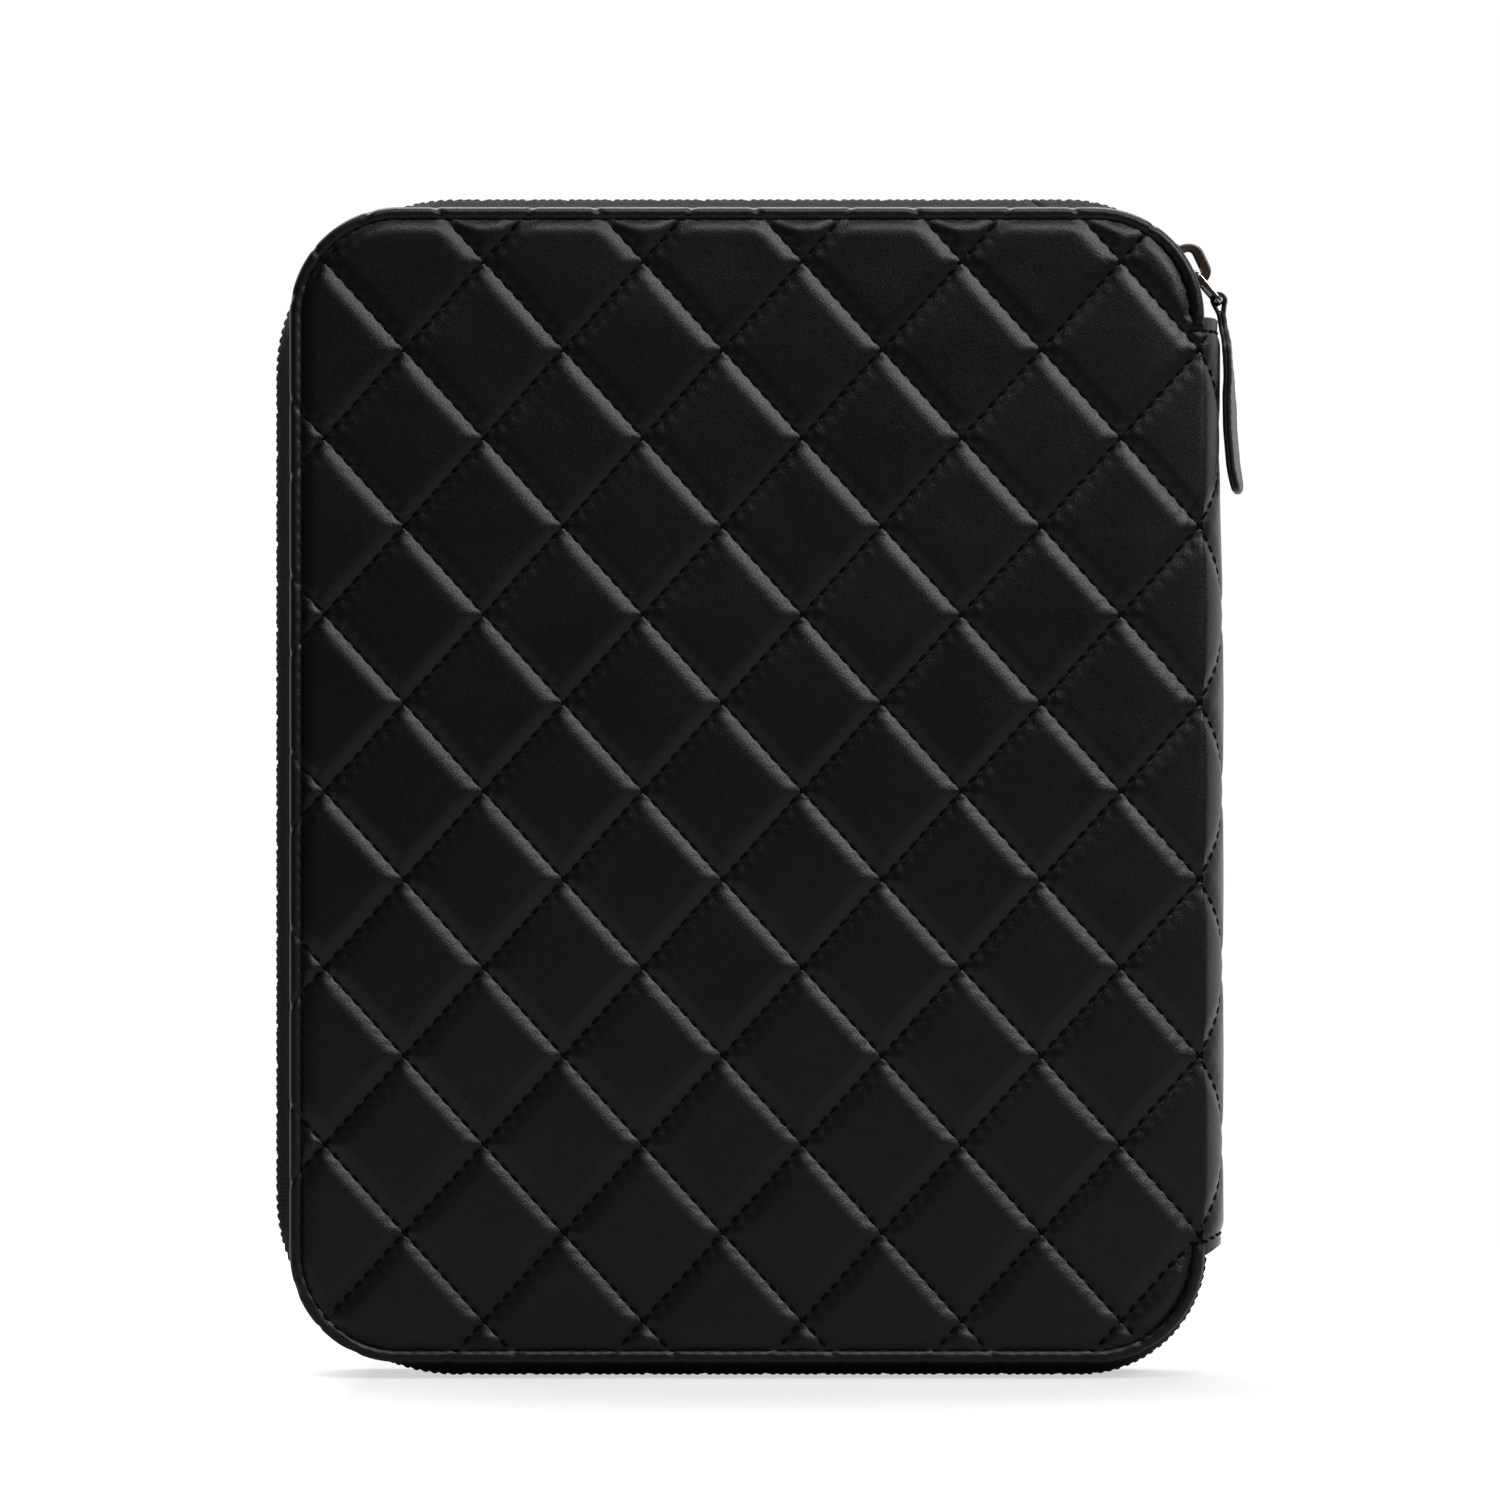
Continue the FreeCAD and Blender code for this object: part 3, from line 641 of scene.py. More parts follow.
def flatHide():
    bm = bmesh.new()
    span = quilt["span"]
    count = span * quilt["cells"]
    bmesh.ops.create_grid(bm, x_segments=count, y_segments=count, size=span / 2)
    for v in bm.verts:
        p, q = (crowd(t + span / 2) - before for t, before in zip(v.co.xy, quilt["before"]))
        v.co = Vector((*offLattice(p, q), 0))
    reach = 2 * mm
    joinX = quilt["joinX"]

    def outside(c):
        if c.x < joinX - reach:
            return c.x < -halfSpine - reach or fromEnd(c.y) < -reach
        return insideEdge(max(c.x, joinX), c.y) < -reach and not (c.x < joinX + reach and fromEnd(c.y) > 0)

    gone = [f for f in bm.faces if outside(f.calc_center_median())]
    bmesh.ops.delete(bm, geom=gone, context="FACES")
    cutAway(bm, region(bm, lambda c: abs(c.x - joinX) < reach), (joinX, 0, 0), (1, 0, 0), False)
    cutAway(bm, region(bm, lambda c: c.x < -halfSpine + reach), (-halfSpine, 0, 0), (-1, 0, 0))
    for z, way in ((case["spineLow"], -1), (case["spineHigh"], 1)):
        cutAway(bm, region(bm, lambda c: c.x < joinX and abs(c.y - z) < 2 * reach), (0, z, 0), (0, way, 0))
    seam = quilt["edgeSeam"]
    far = case["foldX"] - case["left"] - seam
    low = case["low"] + seam
    high = case["high"] - seam
    cutAway(bm, region(bm, lambda c: c.x > far - 3 * reach), (far, 0, 0), (1, 0, 0))
    cutAway(bm, region(bm, lambda c: c.x > joinX and c.y < low + 3 * reach), (0, low, 0), (0, -1, 0))
    cutAway(bm, region(bm, lambda c: c.x > joinX and c.y > high - 3 * reach), (0, high, 0), (0, 1, 0))
    corners = []
    for centre, _ in coverLoop:
        flat = Vector((case["foldX"] - centre.x, centre.y, 0))
        corners.append((flat, 1 if centre.x < 0 else -1, 1 if centre.y > case["middle"] else -1))
    roundCorners(bm, corners, case["cornerRound"] - seam, 8, lambda c: c.x > joinX)
    middles = [(f, f.calc_center_median()) for f in bm.faces]
    stray = [f for f, c in middles if c.x < joinX and fromEnd(c.y) < 0]
    bmesh.ops.delete(bm, geom=stray, context="FACES")
    bmesh.ops.remove_doubles(bm, verts=bm.verts, dist=weld)
    return bm


# the cut ends of the spine aren't quite square: they drop a little towards the covers
def slantEnds(s, z):
    share = smooth((quilt["joinX"] - s) / (foldArc + quilt["joinX"]))
    slant = quilt["endSlant"][0] * (1 - share) + quilt["endSlant"][1] * share
    near = smooth(1 - fromEnd(z) / quilt["slantReach"]) if z < case["middle"] else 0
    beyond = smooth((s - quilt["joinX"]) / quilt["slantEase"])
    return slant * near * (1 - beyond)


# the leather rises a little between one stitch and the next
def sewnPinch(material):
    tree = material.node_tree
    flat = nodeOut(tree, "UVMap", "UV", uv_map="run")
    part = addNode(tree, "SeparateXYZ", {"Vector": flat}).outputs
    across, up = (
        combine(tree, "MULTIPLY", combine(tree, "SUBTRACT", part[axis], shift), 1 / pitch)
        for axis, shift, pitch in (("X", quilt["shiftX"], quilt["pitchX"]), ("Y", seamZ, quilt["pitchZ"]))
    )
    p = combine(tree, "ADD", across, up)
    q = combine(tree, "SUBTRACT", across, up)
    rises = []
    for here, other in ((p, q), (q, p)):
        far = combine(tree, "PINGPONG", here, 0.5)
        near = ramp(tree, far, 1.0, 0.0, 0.0, quilt["pinchReach"] / seamSpacing)
        run = combine(tree, "COSINE", combine(tree, "MULTIPLY", other, stitchWave), 0.0)
        rises.append(combine(tree, "MULTIPLY", near, combine(tree, "MULTIPLY", run, -0.5)))
    normal = tree.nodes["Principled BSDF"].inputs["Normal"]
    height = {"Height": combine(tree, "ADD", *rises), "Strength": 1.0, "Distance": quilt["pinch"]}
    bump = addNode(tree, "Bump", dict(height, Normal=normal.links[0].from_socket))
    tree.links.new(bump.outputs["Normal"], normal)


sewnPinch(lambskin)
bm = flatHide()
print("hide trimmed:", len(bm.verts), "points")
layer = bm.loops.layers.uv.new("run")
for face in bm.faces:
    for loop in face.loops:
        loop[layer].uv = loop.vert.co.xy
ends = [
    e
    for e in bm.edges
    if e.is_boundary
    and max(v.co.x for v in e.verts) < quilt["joinX"] + weld
    and abs(e.verts[0].co.y - e.verts[1].co.y) < tiny
]
for v in bm.verts:
    v.co.z = hideLift(v.co.x, v.co.y)
for v in bm.verts:
    if v.co.x < quilt["joinX"] + quilt["slantEase"] and fromEnd(v.co.y) < quilt["slantReach"]:
        v.co.y += slantEnds(v.co.x, v.co.y)
# the leather turns in round the ends of the spine: drop and way out of each step, mm
for drop, outward in quilt["turnIn"]:
    made = bmesh.ops.extrude_edge_only(bm, edges=ends)["geom"]
    moved = {v for v in made if isinstance(v, bmesh.types.BMVert)}
    ends = [e for e in made if isinstance(e, bmesh.types.BMEdge) and e.is_boundary and set(e.verts) <= moved]
    for v in moved:
        v.co.z -= drop * mm
        v.co.y += outward * mm * (1 if v.co.y > case["middle"] else -1)
    ends = [e for e in ends if abs(e.verts[0].co.x - e.verts[1].co.x) > tiny]
for v in bm.verts:
    v.co = onCase(*v.co)
lookOutward(bm, lambda c: Vector((0.6, -1, 0)))
foldStart = Vector((case["spineX"] - case["bendRun"], case["face"], case["middle"]))
foldEnd = Vector((case["spineX"], case["face"] + case["bendRun"], case["middle"]))


# bakes a piece's transform into its points; the start and end of its bend between a cover and the spine,
# mirrored for the rear side, are not used
def bendTo(piece, side, start, end):
    if side == "rear":
        start, end = flipY @ start, flipY @ end
    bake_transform(piece)
    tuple(start)
    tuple(end)


for piece, side in bothSides(newPiece("front_hide", bm, lambskin)):
    bendTo(piece, side, foldStart, foldEnd)
    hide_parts(side + "_quilted_leather", side + "_wadding", "spine_quilted_leather")
print("hide ready")

# rolled edge outside the edge seam, with the hem turned in behind: offset and depth, mm
rim = {
    "profile": (
        (-3.05, 2.0), (-2.7, 1.62), (-2.35, 1.16), (-1.85, 0.84), (-1.2, 0.72), (-0.62, 0.88), (-0.18, 1.36),
        (0.0, 2.1), (0.02, 3.0), (0.0, 3.9), (-0.12, 4.7), (-0.5, 5.35), (-1.3, 5.62), (-6.8, 5.62),
    ),
    "step": 0.5 * mm,
    "cornerSteps": 64,
    "dent": 0.42 * mm,
    "dentReach": 0.5 * mm,
    "dentRows": range(2, 9),
    "pinch": 0.06 * mm,
    "pinchRows": range(2, 4),
    "wave": 0.06 * mm,
    "waveRate": 130,
    "tuck": 1.6 * mm,
    "tuckDeep": 0.4 * mm,
}
rimStations = loopStations(rim["step"], rim["cornerSteps"])
rimRun = [0.0]
for pair in zip(rimStations, rimStations[1:]):
    a, b = (loopPoint(coverLoop, station, -quilt["edgeSeam"])[0] for station in pair)
    rimRun.append(rimRun[-1] + (b - a).length)


def rimPoint(i, j):
    k = min(max(i - 1, 0), len(rimStations) - 1)
    out, depth = (value * mm for value in rim["profile"][j])
    point, way = loopPoint(coverLoop, rimStations[k], out)
    p, q = lattice(case["foldX"] - point.x, point.y)
    near = min(abs(p - round(p)), abs(q - round(q))) * seamSpacing
    dent = rim["dent"] * math.exp(-((near / rim["dentReach"]) ** 2)) * (j in rim["dentRows"])
    pinch = math.cos(2 * math.pi * rimRun[k] / stitch["edgePitch"]) * rim["pinch"] * (j in rim["pinchRows"])
    wave = rim["wave"] * ripple(point.x, point.y, rim["waveRate"], j * 0.2) * (j > 1)
    point = point - way * dent * 0.5
    z = point.y
    # the first and the last column are tucked in at the spine
    if i != k + 1:
        z += math.copysign(rim["tuck"], case["middle"] - z)
        depth += rim["tuckDeep"]
    return Vector((point.x, case["face"] + depth + dent + pinch + wave, z))


bm = sweptGrid(len(rimStations) + 2, len(rim["profile"]), rimPoint)
lookOutward(bm, lambda c: Vector((c.x, -0.02 if c.y < -0.012 else 0, c.z - case["middle"])))
for piece, side in bothSides(newPiece("front_rolled_edge", bm, rimLeather)):
    fit(piece, side + "_cover", "quilted_leather")
print("rolled edges ready")


def stitchTemplate(size):
    template = bmesh.new()
    bmesh.ops.create_uvsphere(template, u_segments=6, v_segments=6, radius=0.5)
    bmesh.ops.rotate(template, verts=template.verts, matrix=Matrix.Rotation(math.pi / 2, 3, "Y"))
    for v in template.verts:
        v.co.x = math.copysign(abs(2 * v.co.x) ** 0.7 / 2, v.co.x) * size["length"]
        v.co.y *= size["wide"]
        v.co.z *= size["high"]
    return template


def onHide(s, z):
    return onCase(s, z, hideLift(s, z) + stitch["rise"])


# where one stitch lies on the hide, heading along a flat step
def stitchPlace(s, z, step):
    here = onHide(s, z)
    heading = onHide(s + step.x, z + step.y) - onHide(s - step.x, z - step.y)
    up = onCase(s, z, mm) - onCase(s, z, 0)
    here.z += slantEnds(s, z)
    return laid(here, heading, up)


def quiltStitches():
    places = []
    reach = int(quilt["span"] * seamSide / stitch["pitch"])
    probe = 0.5 * mm
    for lean in (1, -1):
        step = Vector((quilt["pitchX"], -lean * quilt["pitchZ"])).normalized() * probe
        for line in range(-6, 12):
            for k in range(-reach, reach):
                other = k * stitch["pitch"] / seamSide
                p, q = (line, other) if lean > 0 else (other, line)
                s, z = offLattice(p, q)
                if s < quilt["joinX"] + mm:
                    kept = s > -halfSpine and fromEnd(z) > quilt["endSeam"] + stitch["clear"]
                else:
                    kept = insideEdge(s, z) > stitch["clear"]
                if kept:
                    places.append(stitchPlace(s, z, step))
    for z in (case["spineLow"] + quilt["endSeam"], case["spineHigh"] - quilt["endSeam"]):
        s = quilt["joinX"] - 0.4 * mm
        while s > -halfSpine:
            places.append(stitchPlace(s, z, Vector((probe, 0))))
            s -= stitch["pitch"]
    return places


def edgeStitches():
    places = []
    due = stitch["edgePitch"]
    offset = stitch["edgeShift"] - quilt["edgeSeam"]
    for k in range(1, len(rimStations)):
        if rimRun[k] < due:
            continue
        a, b = (loopPoint(coverLoop, rimStations[n], offset)[0] for n in (k - 1, k))
        spot = a.lerp(b, (due - rimRun[k - 1]) / (rimRun[k] - rimRun[k - 1]))
        place = Vector((spot.x, case["face"] + stitch["edgeDeep"], spot.y))
        places.append(laid(place, Vector((b.x - a.x, 0, b.y - a.y)), -rearward))
        due += stitch["edgePitch"]
    return places


template = stitchTemplate(stitch)
for name, places in (("quilting_stitches", quiltStitches()), ("edge_stitches", edgeStitches())):
    bm = addCopies(bmesh.new(), template, places)
    for piece, side in bothSides(newPiece("front_" + name, bm, blackThread)):
        if name == "edge_stitches":
            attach(piece, side + "_cover")
        else:
            bendTo(piece, side, foldStart, foldEnd)
template.free()
print("stitches ready")

# zip tapes; a profile row names the loop that it follows, its offset or share, and its distance
# from the middle plane, mm
tape = {
    "profile": (
        ("cover", -3.6, 9.0), ("cover", -1.2, 9.05), ("cover", -0.55, 8.8), ("mix", 0.2, 8.2),
        ("mix", 0.45, 7.2), ("mix", 0.7, 6.0), ("mix", 0.92, 5.0), ("chain", 0.3, 4.4), ("chain", 0.34, 3.2),
        ("chain", 0.36, 2.4), ("chain", 0.3, 1.5), ("chain", 0.22, 0.15),
    ),
    "mixFrom": -0.4 * mm,
    "mixTo": 0.3 * mm,
    "thick": 0.55 * mm,
    "step": 3 * mm,
    "cornerSteps": 26,
    "split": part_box("front_zip_tape")[1].x,
    "halfWay": -200,  # angle of the stations between the low and the high end
    "sag": 0.5 * mm,
    "wave": 0.07 * mm,
    "waveRate": 90,
    "topEase": 1.05 * mm,
}


# the zip lies a little lower along the top
def chainPoint(station, offset=0.0):
    point, way = loopPoint(chainLoop, station, offset)
    if point.y > case["middle"]:
        point.y -= tape["topEase"] * max(way.y, 0) ** 2
    return point, way


def tapePoint(station, j):
    kind, value, y = tape["profile"][j]
    if kind == "cover":
        point, way = loopPoint(coverLoop, station, value * mm)
    elif kind == "chain":
        point, way = chainPoint(station, value * mm)
    else:
        near, way = loopPoint(coverLoop, station, tape["mixFrom"])
        far, way = chainPoint(station, tape["mixTo"])
        point = near.lerp(far, value) - way * tape["sag"] * math.sin(math.pi * value)
    point = point + way * tape["wave"] * ripple(point.x, point.y, tape["waveRate"], y * 0.4)
    return Vector((point.x, -y * mm, point.y))


def isEnd(station):
    return loopPoint(chainLoop, station)[0].x > tape["split"]


tapeStations = loopStations(tape["step"], tape["cornerSteps"])
runStations = [s for s in tapeStations if not isEnd(s)]
lowEnd = [s for s in tapeStations if isEnd(s) and s[1] > tape["halfWay"]] + runStations[:1]
highEnd = runStations[-1:] + [s for s in tapeStations if isEnd(s) and s[1] < tape["halfWay"]]
tapeBend = (Vector((tape["split"], 0, case["middle"])), Vector((case["right"], 0, case["middle"])))
tapes = []
for name, stations in (("tape", runStations), ("tape_low_end", lowEnd), ("tape_high_end", highEnd)):
    bm = sweptGrid(len(stations), len(tape["profile"]), lambda i, j: tapePoint(stations[i], j))
    lookOutward(bm, lambda c: Vector((c.x, 0, c.z - case["middle"])))
    tapes.append(newPiece("front_" + name, bm, zipTapeCloth))
    thicken(tapes[-1], tape["thick"])
for half in tapes:
    for piece, side in bothSides(half):
        if half == tapes[0]:
            fit(piece, side + "_cover", "zip_tape", side + "_zip_tape")
        else:
            bendTo(piece, side, *tapeBend)
            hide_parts(side + "_zip_tape_ends")

# teeth, from one end of the zip to the other by angle round the case
tooth = {
    "pitch": 1.95 * mm, "root": 1.3 * mm, "noseShare": 0.72, "high": 1.6 * mm, "back": 2.5 * mm,
    "nose": 0.5 * mm, "round": 0.34 * mm, "from": -4, "to": -324,
}


def toothTemplate():
    template = bmesh.new()
    bmesh.ops.create_cube(template, size=1.0)
    for v in template.verts:
        v.co.x *= tooth["high"]
        v.co.z *= tooth["root"] * (1 if v.co.y < 0 else tooth["noseShare"])
        v.co.y = -tooth["back"] if v.co.y < 0 else tooth["nose"]
    bevelEdges(template, list(template.edges), tooth["round"], 2)
    return template


# the teeth of the two rows take turns; each row has a run on its cover and its ends at the spine
def toothPlaces():
    stations = [s for s in loopStations(mm, 90) if tooth["to"] <= s[1] <= tooth["from"]]
    line = [chainPoint(station) for station in stations]
    places = {"front": ([], []), "rear": ([], [])}
    run = due = 0.0
    count = 0
    for (a, _), (b, way) in zip(line, line[1:]):
        run += (b - a).length
        while run >= due:
            row = ("front", "rear")[count % 2]
            out = Vector((way.x, 0, way.y))
            nose = rearward if row == "front" else -rearward
            part = 1 if b.x > tape["split"] else 0
            places[row][part].append(laid(Vector((b.x, 0, b.y)), out, out.cross(nose)))
            count += 1
            due += tooth["pitch"] / 2
    return places


template = toothTemplate()
for side, parts in toothPlaces().items():
    for name, places in zip(("teeth", "teeth_ends"), parts):
        bm = addCopies(bmesh.new(), template, places)
        bmesh.ops.recalc_face_normals(bm, faces=bm.faces)
        piece = newPiece(side + "_" + name, bm, toothMetal)
        if name == "teeth":
            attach(piece, side + "_cover")
        else:
            bendTo(piece, side, *tapeBend)
        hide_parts(side + "_zip_" + name)
template.free()
print("zip ready")


# a node's own shape, with its triangles joined to whole faces
def mergedNode(node):
    bm = bmesh.new()
    bm.from_mesh(frame["nodes"][node].data)
    bmesh.ops.remove_doubles(bm, verts=bm.verts, dist=weld)
    bmesh.ops.dissolve_limit(bm, angle_limit=math.radians(1), verts=bm.verts, edges=bm.edges)
    return bm


# large faces are plane, so they take no shade from the rounded edges beside them
def plainFaces(piece):
    for face in piece.data.polygons:
        if face.area > 4 * mm * mm:
            face.use_smooth = False


def sharpEdges(bm):
    return [e for e in bm.edges if len(e.link_faces) == 2 and e.calc_face_angle() > math.radians(30)]


# a node's shape with its edges rounded
def roundedCopy(name, node, body, slotName, material, width, segments, reshape=lambda point: point):
    bm = mergedNode(node)
    for v in bm.verts:
        v.co = reshape(v.co)
    bevelEdges(bm, sharpEdges(bm), width, segments)
    piece = newPiece(name, bm, material)
    plainFaces(piece)
    fit(piece, body, slotName, node)


bail = {
    "way": Vector((0.95, 0, 0.31)), "low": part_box("zip_slider_bridge")[0], "foot": 2.5 * mm, "stretch": 0.2,
}


# the bail stands a little higher than its plain solid
def higher(point):
    over = (point - bail["low"]).dot(bail["way"]) - bail["foot"]
    return point + bail["way"] * max(over, 0) * bail["stretch"]


roundedCopy("slider_plates", "zip_slider_body", "zip_slider", "slider_metal", bailMetal, 0.18 * mm, 2)
roundedCopy("slider_bail", "zip_slider_bridge", "zip_slider", "slider_metal", bailMetal, 0.5 * mm, 4, higher)
stopShift = {"front_cover": 0.0, "rear_cover": 0.0, "spine": 1.6 * mm}
for node, body in (
    ("front_zip_top_stop", "front_cover"), ("rear_zip_top_stop", "rear_cover"), ("zip_bottom_stop", "spine")
):
    shift = Vector((stopShift[body], 0, 0))
    roundedCopy(node + "_clamp", node, body, "zip_metal", toothMetal, 0.12 * mm, 2, lambda co: co + shift)

# the link is stamped from flat stock and hangs a little askew
linkLook = {"askew": math.radians(-2.2), "round": 0.26 * mm}
joints = {joint["name"]: joint for joint in frame["record"]["behaviour"]["joints"]}
linkPin = Vector(joints["link_swing"]["pos_m"])
pullPin = Vector(joints["pull_swing"]["pos_m"])
bm = mergedNode("pull_link")
bevelEdges(bm, sharpEdges(bm), linkLook["round"], 3)
turn = Matrix.Rotation(linkLook["askew"], 3, (pullPin - linkPin).normalized())
bmesh.ops.rotate(bm, verts=bm.verts, cent=linkPin, matrix=turn)
link = newPiece("pull_loop", bm, linkMetal)
plainFaces(link)
fit(link, "link", "link_metal", "pull_link")
print("metal ready")

# leather pull: a strip folded round the link, sewn double, curved and twisted a little, mm and degrees
pull = {
    "lean": 5.0,
    "length": 41.3,
    "half": 5.0,
    "neck": 2.55,
    "neckRun": 5.0,
    "shoulderRun": 10.0,
    "thick": 0.95,
    "tipThick": 0.55,
    "tipRun": 1.1,
    "start": 1.8,
    "steps": 70,
    "crowding": 1.6,
    # ring round the strip: across from the edge, out from the middle; the groove is where two layers meet
    "ring": ((0.16, 0.0), (0.0, 0.16), (0.0, 0.5), (0.12, 0.78), (0.36, 0.95), (1.15, 0.93), (2.2, 1.0)),
    "ringHalf": 2.4,
    "bow": ((0, 0.0), (4, 0.35), (9, 0.85), (15, 0.75), (21, 0.35), (28, 0.0), (34, 0.0), (41.3, 0.45)),
    "twist": ((0, 6.0), (12, 6.0), (24, 12.0), (41.3, 12.0)),
    "foldRound": 1.34,
    "foldTurn": math.radians(118),
    "foldShare": 0.55,
    "foldRun": 2.4,
    "foldRise": 0.5,
    "foldSteps": 49,
    "foldRing": (
        (2.55, 0.28), (2.38, 0.46), (0, 0.48), (-2.38, 0.46), (-2.55, 0.28), (-2.55, -0.28), (-2.38, -0.46),
        (0, -0.48), (2.38, -0.46), (2.55, -0.28), (2.55, 0.28),
    ),
    "seam": 1.15,
    "crossSeam": 0.9,
    "crossStitches": (-1.1, 1.1),
    "stitch": {"length": 1.55 * mm, "wide": 0.4 * mm, "high": 0.3 * mm},
    "stitchPitch": 2.2,
    "stitchOut": 0.88,
}
lean = math.radians(pull["lean"])
pullDown = Vector((math.sin(lean), 0, -math.cos(lean)))
pullOut = Vector((math.cos(lean), 0, math.sin(lean)))


# smooth run through listed values
def tableValue(table, d):
    for (d0, v0), (d1, v1) in zip(table, table[1:]):
        if d <= d1:
            return v0 + (v1 - v0) * smooth((d - d0) / (d1 - d0))
    return table[-1][1]


def pullHalf(d):
    widening = smooth((d - pull["neckRun"]) / (pull["shoulderRun"] - pull["neckRun"]))
    half = pull["neck"] + (pull["half"] - pull["neck"]) * widening
    left = pull["length"] - d
    if left < pull["half"]:
        half = min(half, math.sqrt(max(pull["half"] ** 2 - (pull["half"] - left) ** 2, 0)))
    return half


def pullPoint(d, across, out):
    turn = math.radians(tableValue(pull["twist"], d))
    face = pullOut * math.cos(turn) - rearward * math.sin(turn)
    wide = rearward * math.cos(turn) + pullOut * math.sin(turn)
    centre = pullPin + (pullDown * d + pullOut * tableValue(pull["bow"], d)) * mm
    return centre + wide * across * mm + face * out * mm


def pullSection(half, thick):
    squeeze = min(half / pull["ringHalf"], 1)
    quarter = [(max(half - inset * squeeze, 0), out * thick) for inset, out in pull["ring"]] + [(0.0, thick)]
    second = [(-a, o) for a, o in reversed(quarter[:-1])]
    third = [(-a, -o) for a, o in quarter[1:]]
    fourth = [(a, -o) for a, o in reversed(quarter[1:-1])]
    return quarter + second + third + fourth + [quarter[0]]


sections = []
for i in range(pull["steps"] + 1):
    share = i / pull["steps"]
    d = pull["start"] + (pull["length"] - pull["start"]) * (1 - (1 - share) ** pull["crowding"])
    tip = smooth((pull["length"] - d) / pull["tipRun"])
    thick = pull["thick"] * (pull["tipThick"] + (1 - pull["tipThick"]) * tip)
    sections.append((d, pullSection(pullHalf(d), thick)))
bm = sweptBar(len(sections), len(sections[0][1]), lambda i, j: pullPoint(sections[i][0], *sections[i][1][j]))
strip = newPiece("pull_strip", bm, pullLeather)


# the fold round the link is one layer, up one side of the pin and down the other
def foldPoint(share):
    way = 2 * share - 1
    bend = min(abs(way) / pull["foldShare"], 1) * pull["foldTurn"]
    spot = Vector((pull["foldRound"] * math.sin(bend), pull["foldRound"] * math.cos(bend) + pull["foldRise"]))
    leg = max(abs(way) - pull["foldShare"], 0) / (1 - pull["foldShare"])
    spot = spot.lerp(Vector((pull["thick"] / 2, -pull["foldRun"])), leg)
    spot.x = math.copysign(spot.x, way)
    return spot


def foldPlace(i, j):
    share = i / (pull["foldSteps"] - 1)
    spot = foldPoint(share)
    ahead = (foldPoint(min(share + 0.01, 1)) - foldPoint(max(share - 0.01, 0))).normalized()
    across, out = pull["foldRing"][j]
    spot += Vector((-ahead.y, ahead.x)) * out
    d = max(-spot.y, 0)
    face = pullPoint(d, 0, 1) - pullPoint(d, 0, 0)
    return pullPoint(d, across, 0) + face * spot.x - pullDown * max(spot.y, 0) * mm


fold = newPiece("pull_fold", sweptBar(pull["foldSteps"], len(pull["foldRing"]), foldPlace), pullLeather)


# one row of stitches down each side and one across under the fold: place and heading from start to end
def pullSeams():
    probe = 0.5
    rows = []
    d = pull["start"] + pull["stitchPitch"]
    while d < pull["length"] - pull["seam"]:
        half = pullHalf(d) - pull["seam"]
        if half > 0.2:
            ahead = pullHalf(d + probe) - pull["seam"]
            rows += [((d, half * way), (d, half * way), (d + probe, ahead * way)) for way in (1, -1)]
        d += pull["stitchPitch"]
    d = pull["start"] + pull["crossSeam"]
    rows += [((d, across), (d, across - probe), (d, across + probe)) for across in pull["crossStitches"]]
    return rows


places = []
for side in (1, -1):
    for spot, start, end in pullSeams():
        heading = pullPoint(*end, side * pull["thick"]) - pullPoint(*start, side * pull["thick"])
        up = pullPoint(*spot, side * 2) - pullPoint(*spot, side)
        places.append(laid(pullPoint(*spot, side * pull["thick"] * pull["stitchOut"]), heading, up))
template = stitchTemplate(pull["stitch"])
sewing = newPiece("pull_stitches", addCopies(bmesh.new(), template, places), pullThread)
template.free()
for piece in (strip, fold, sewing):
    fit(piece, "pull", "pull_leather")
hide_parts("pull_tab")
print("pull ready")

innerStitch = {"length": 2.3 * mm, "wide": 0.42 * mm, "high": 0.3 * mm, "out": 0.02 * mm}


def rowStitches(points, pitch, up):
    places = []
    run = 0.0
    due = pitch / 2
    for a, b in zip(points, points[1:]):
        length = (b - a).length
        while length > 0 and run + length >= due:
            places.append(laid(a.lerp(b, (due - run) / length), b - a, up))
            due += pitch
        run += length
    return places


# a seam that runs round inside the border of a box, on its rear face
def borderStitches(low, high, inset, radius, cornerSteps, pitch):
    loop = roundedLoop(low.x + inset, high.x - inset, low.z + inset, high.z - inset, radius, radius)
    points = [loopPoint(loop, station)[0] for station in loopStations(2 * mm, cornerSteps)]
    spots = [Vector((p.x, high.y + innerStitch["out"], p.y)) for p in points + points[:1]]
    return rowStitches(spots, pitch, rearward)


def stitchPiece(name, places):
    template = stitchTemplate(innerStitch)
    bm = addCopies(bmesh.new(), template, places)
    template.free()
    return newPiece(name, bm, blackThread)


# linings: a sheet on each cover, sewn round
lining = {
    "round": case["cornerRound"] - 1.5 * mm, "grid": 3 * mm, "thick": 0.8 * mm, "pitch": 3.6 * mm,
    "seam": 2.4 * mm, "swell": 0.10 * mm, "swellRate": 40, "sink": 0.6,
}
liningLow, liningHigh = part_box("front_lining")


def flatSheet(low, high, radius, step, steps):
    bm = bmesh.new()
    size = Vector((high.x - low.x, high.z - low.z))
    bmesh.ops.create_grid(bm, x_segments=round(size.x / step), y_segments=round(size.y / step), size=0.5)
    for v in bm.verts:
        v.co = Vector((low.x + (v.co.x + 0.5) * size.x, low.z + (v.co.y + 0.5) * size.y, 0))
    corners = []
    for wayX, x in ((-1, low.x + radius), (1, high.x - radius)):
        for wayZ, z in ((-1, low.z + radius), (1, high.z - radius)):
            corners.append((Vector((x, z, 0)), wayX, wayZ))
    roundCorners(bm, corners, radius, steps)
    bmesh.ops.remove_doubles(bm, verts=bm.verts, dist=weld)
    return bm


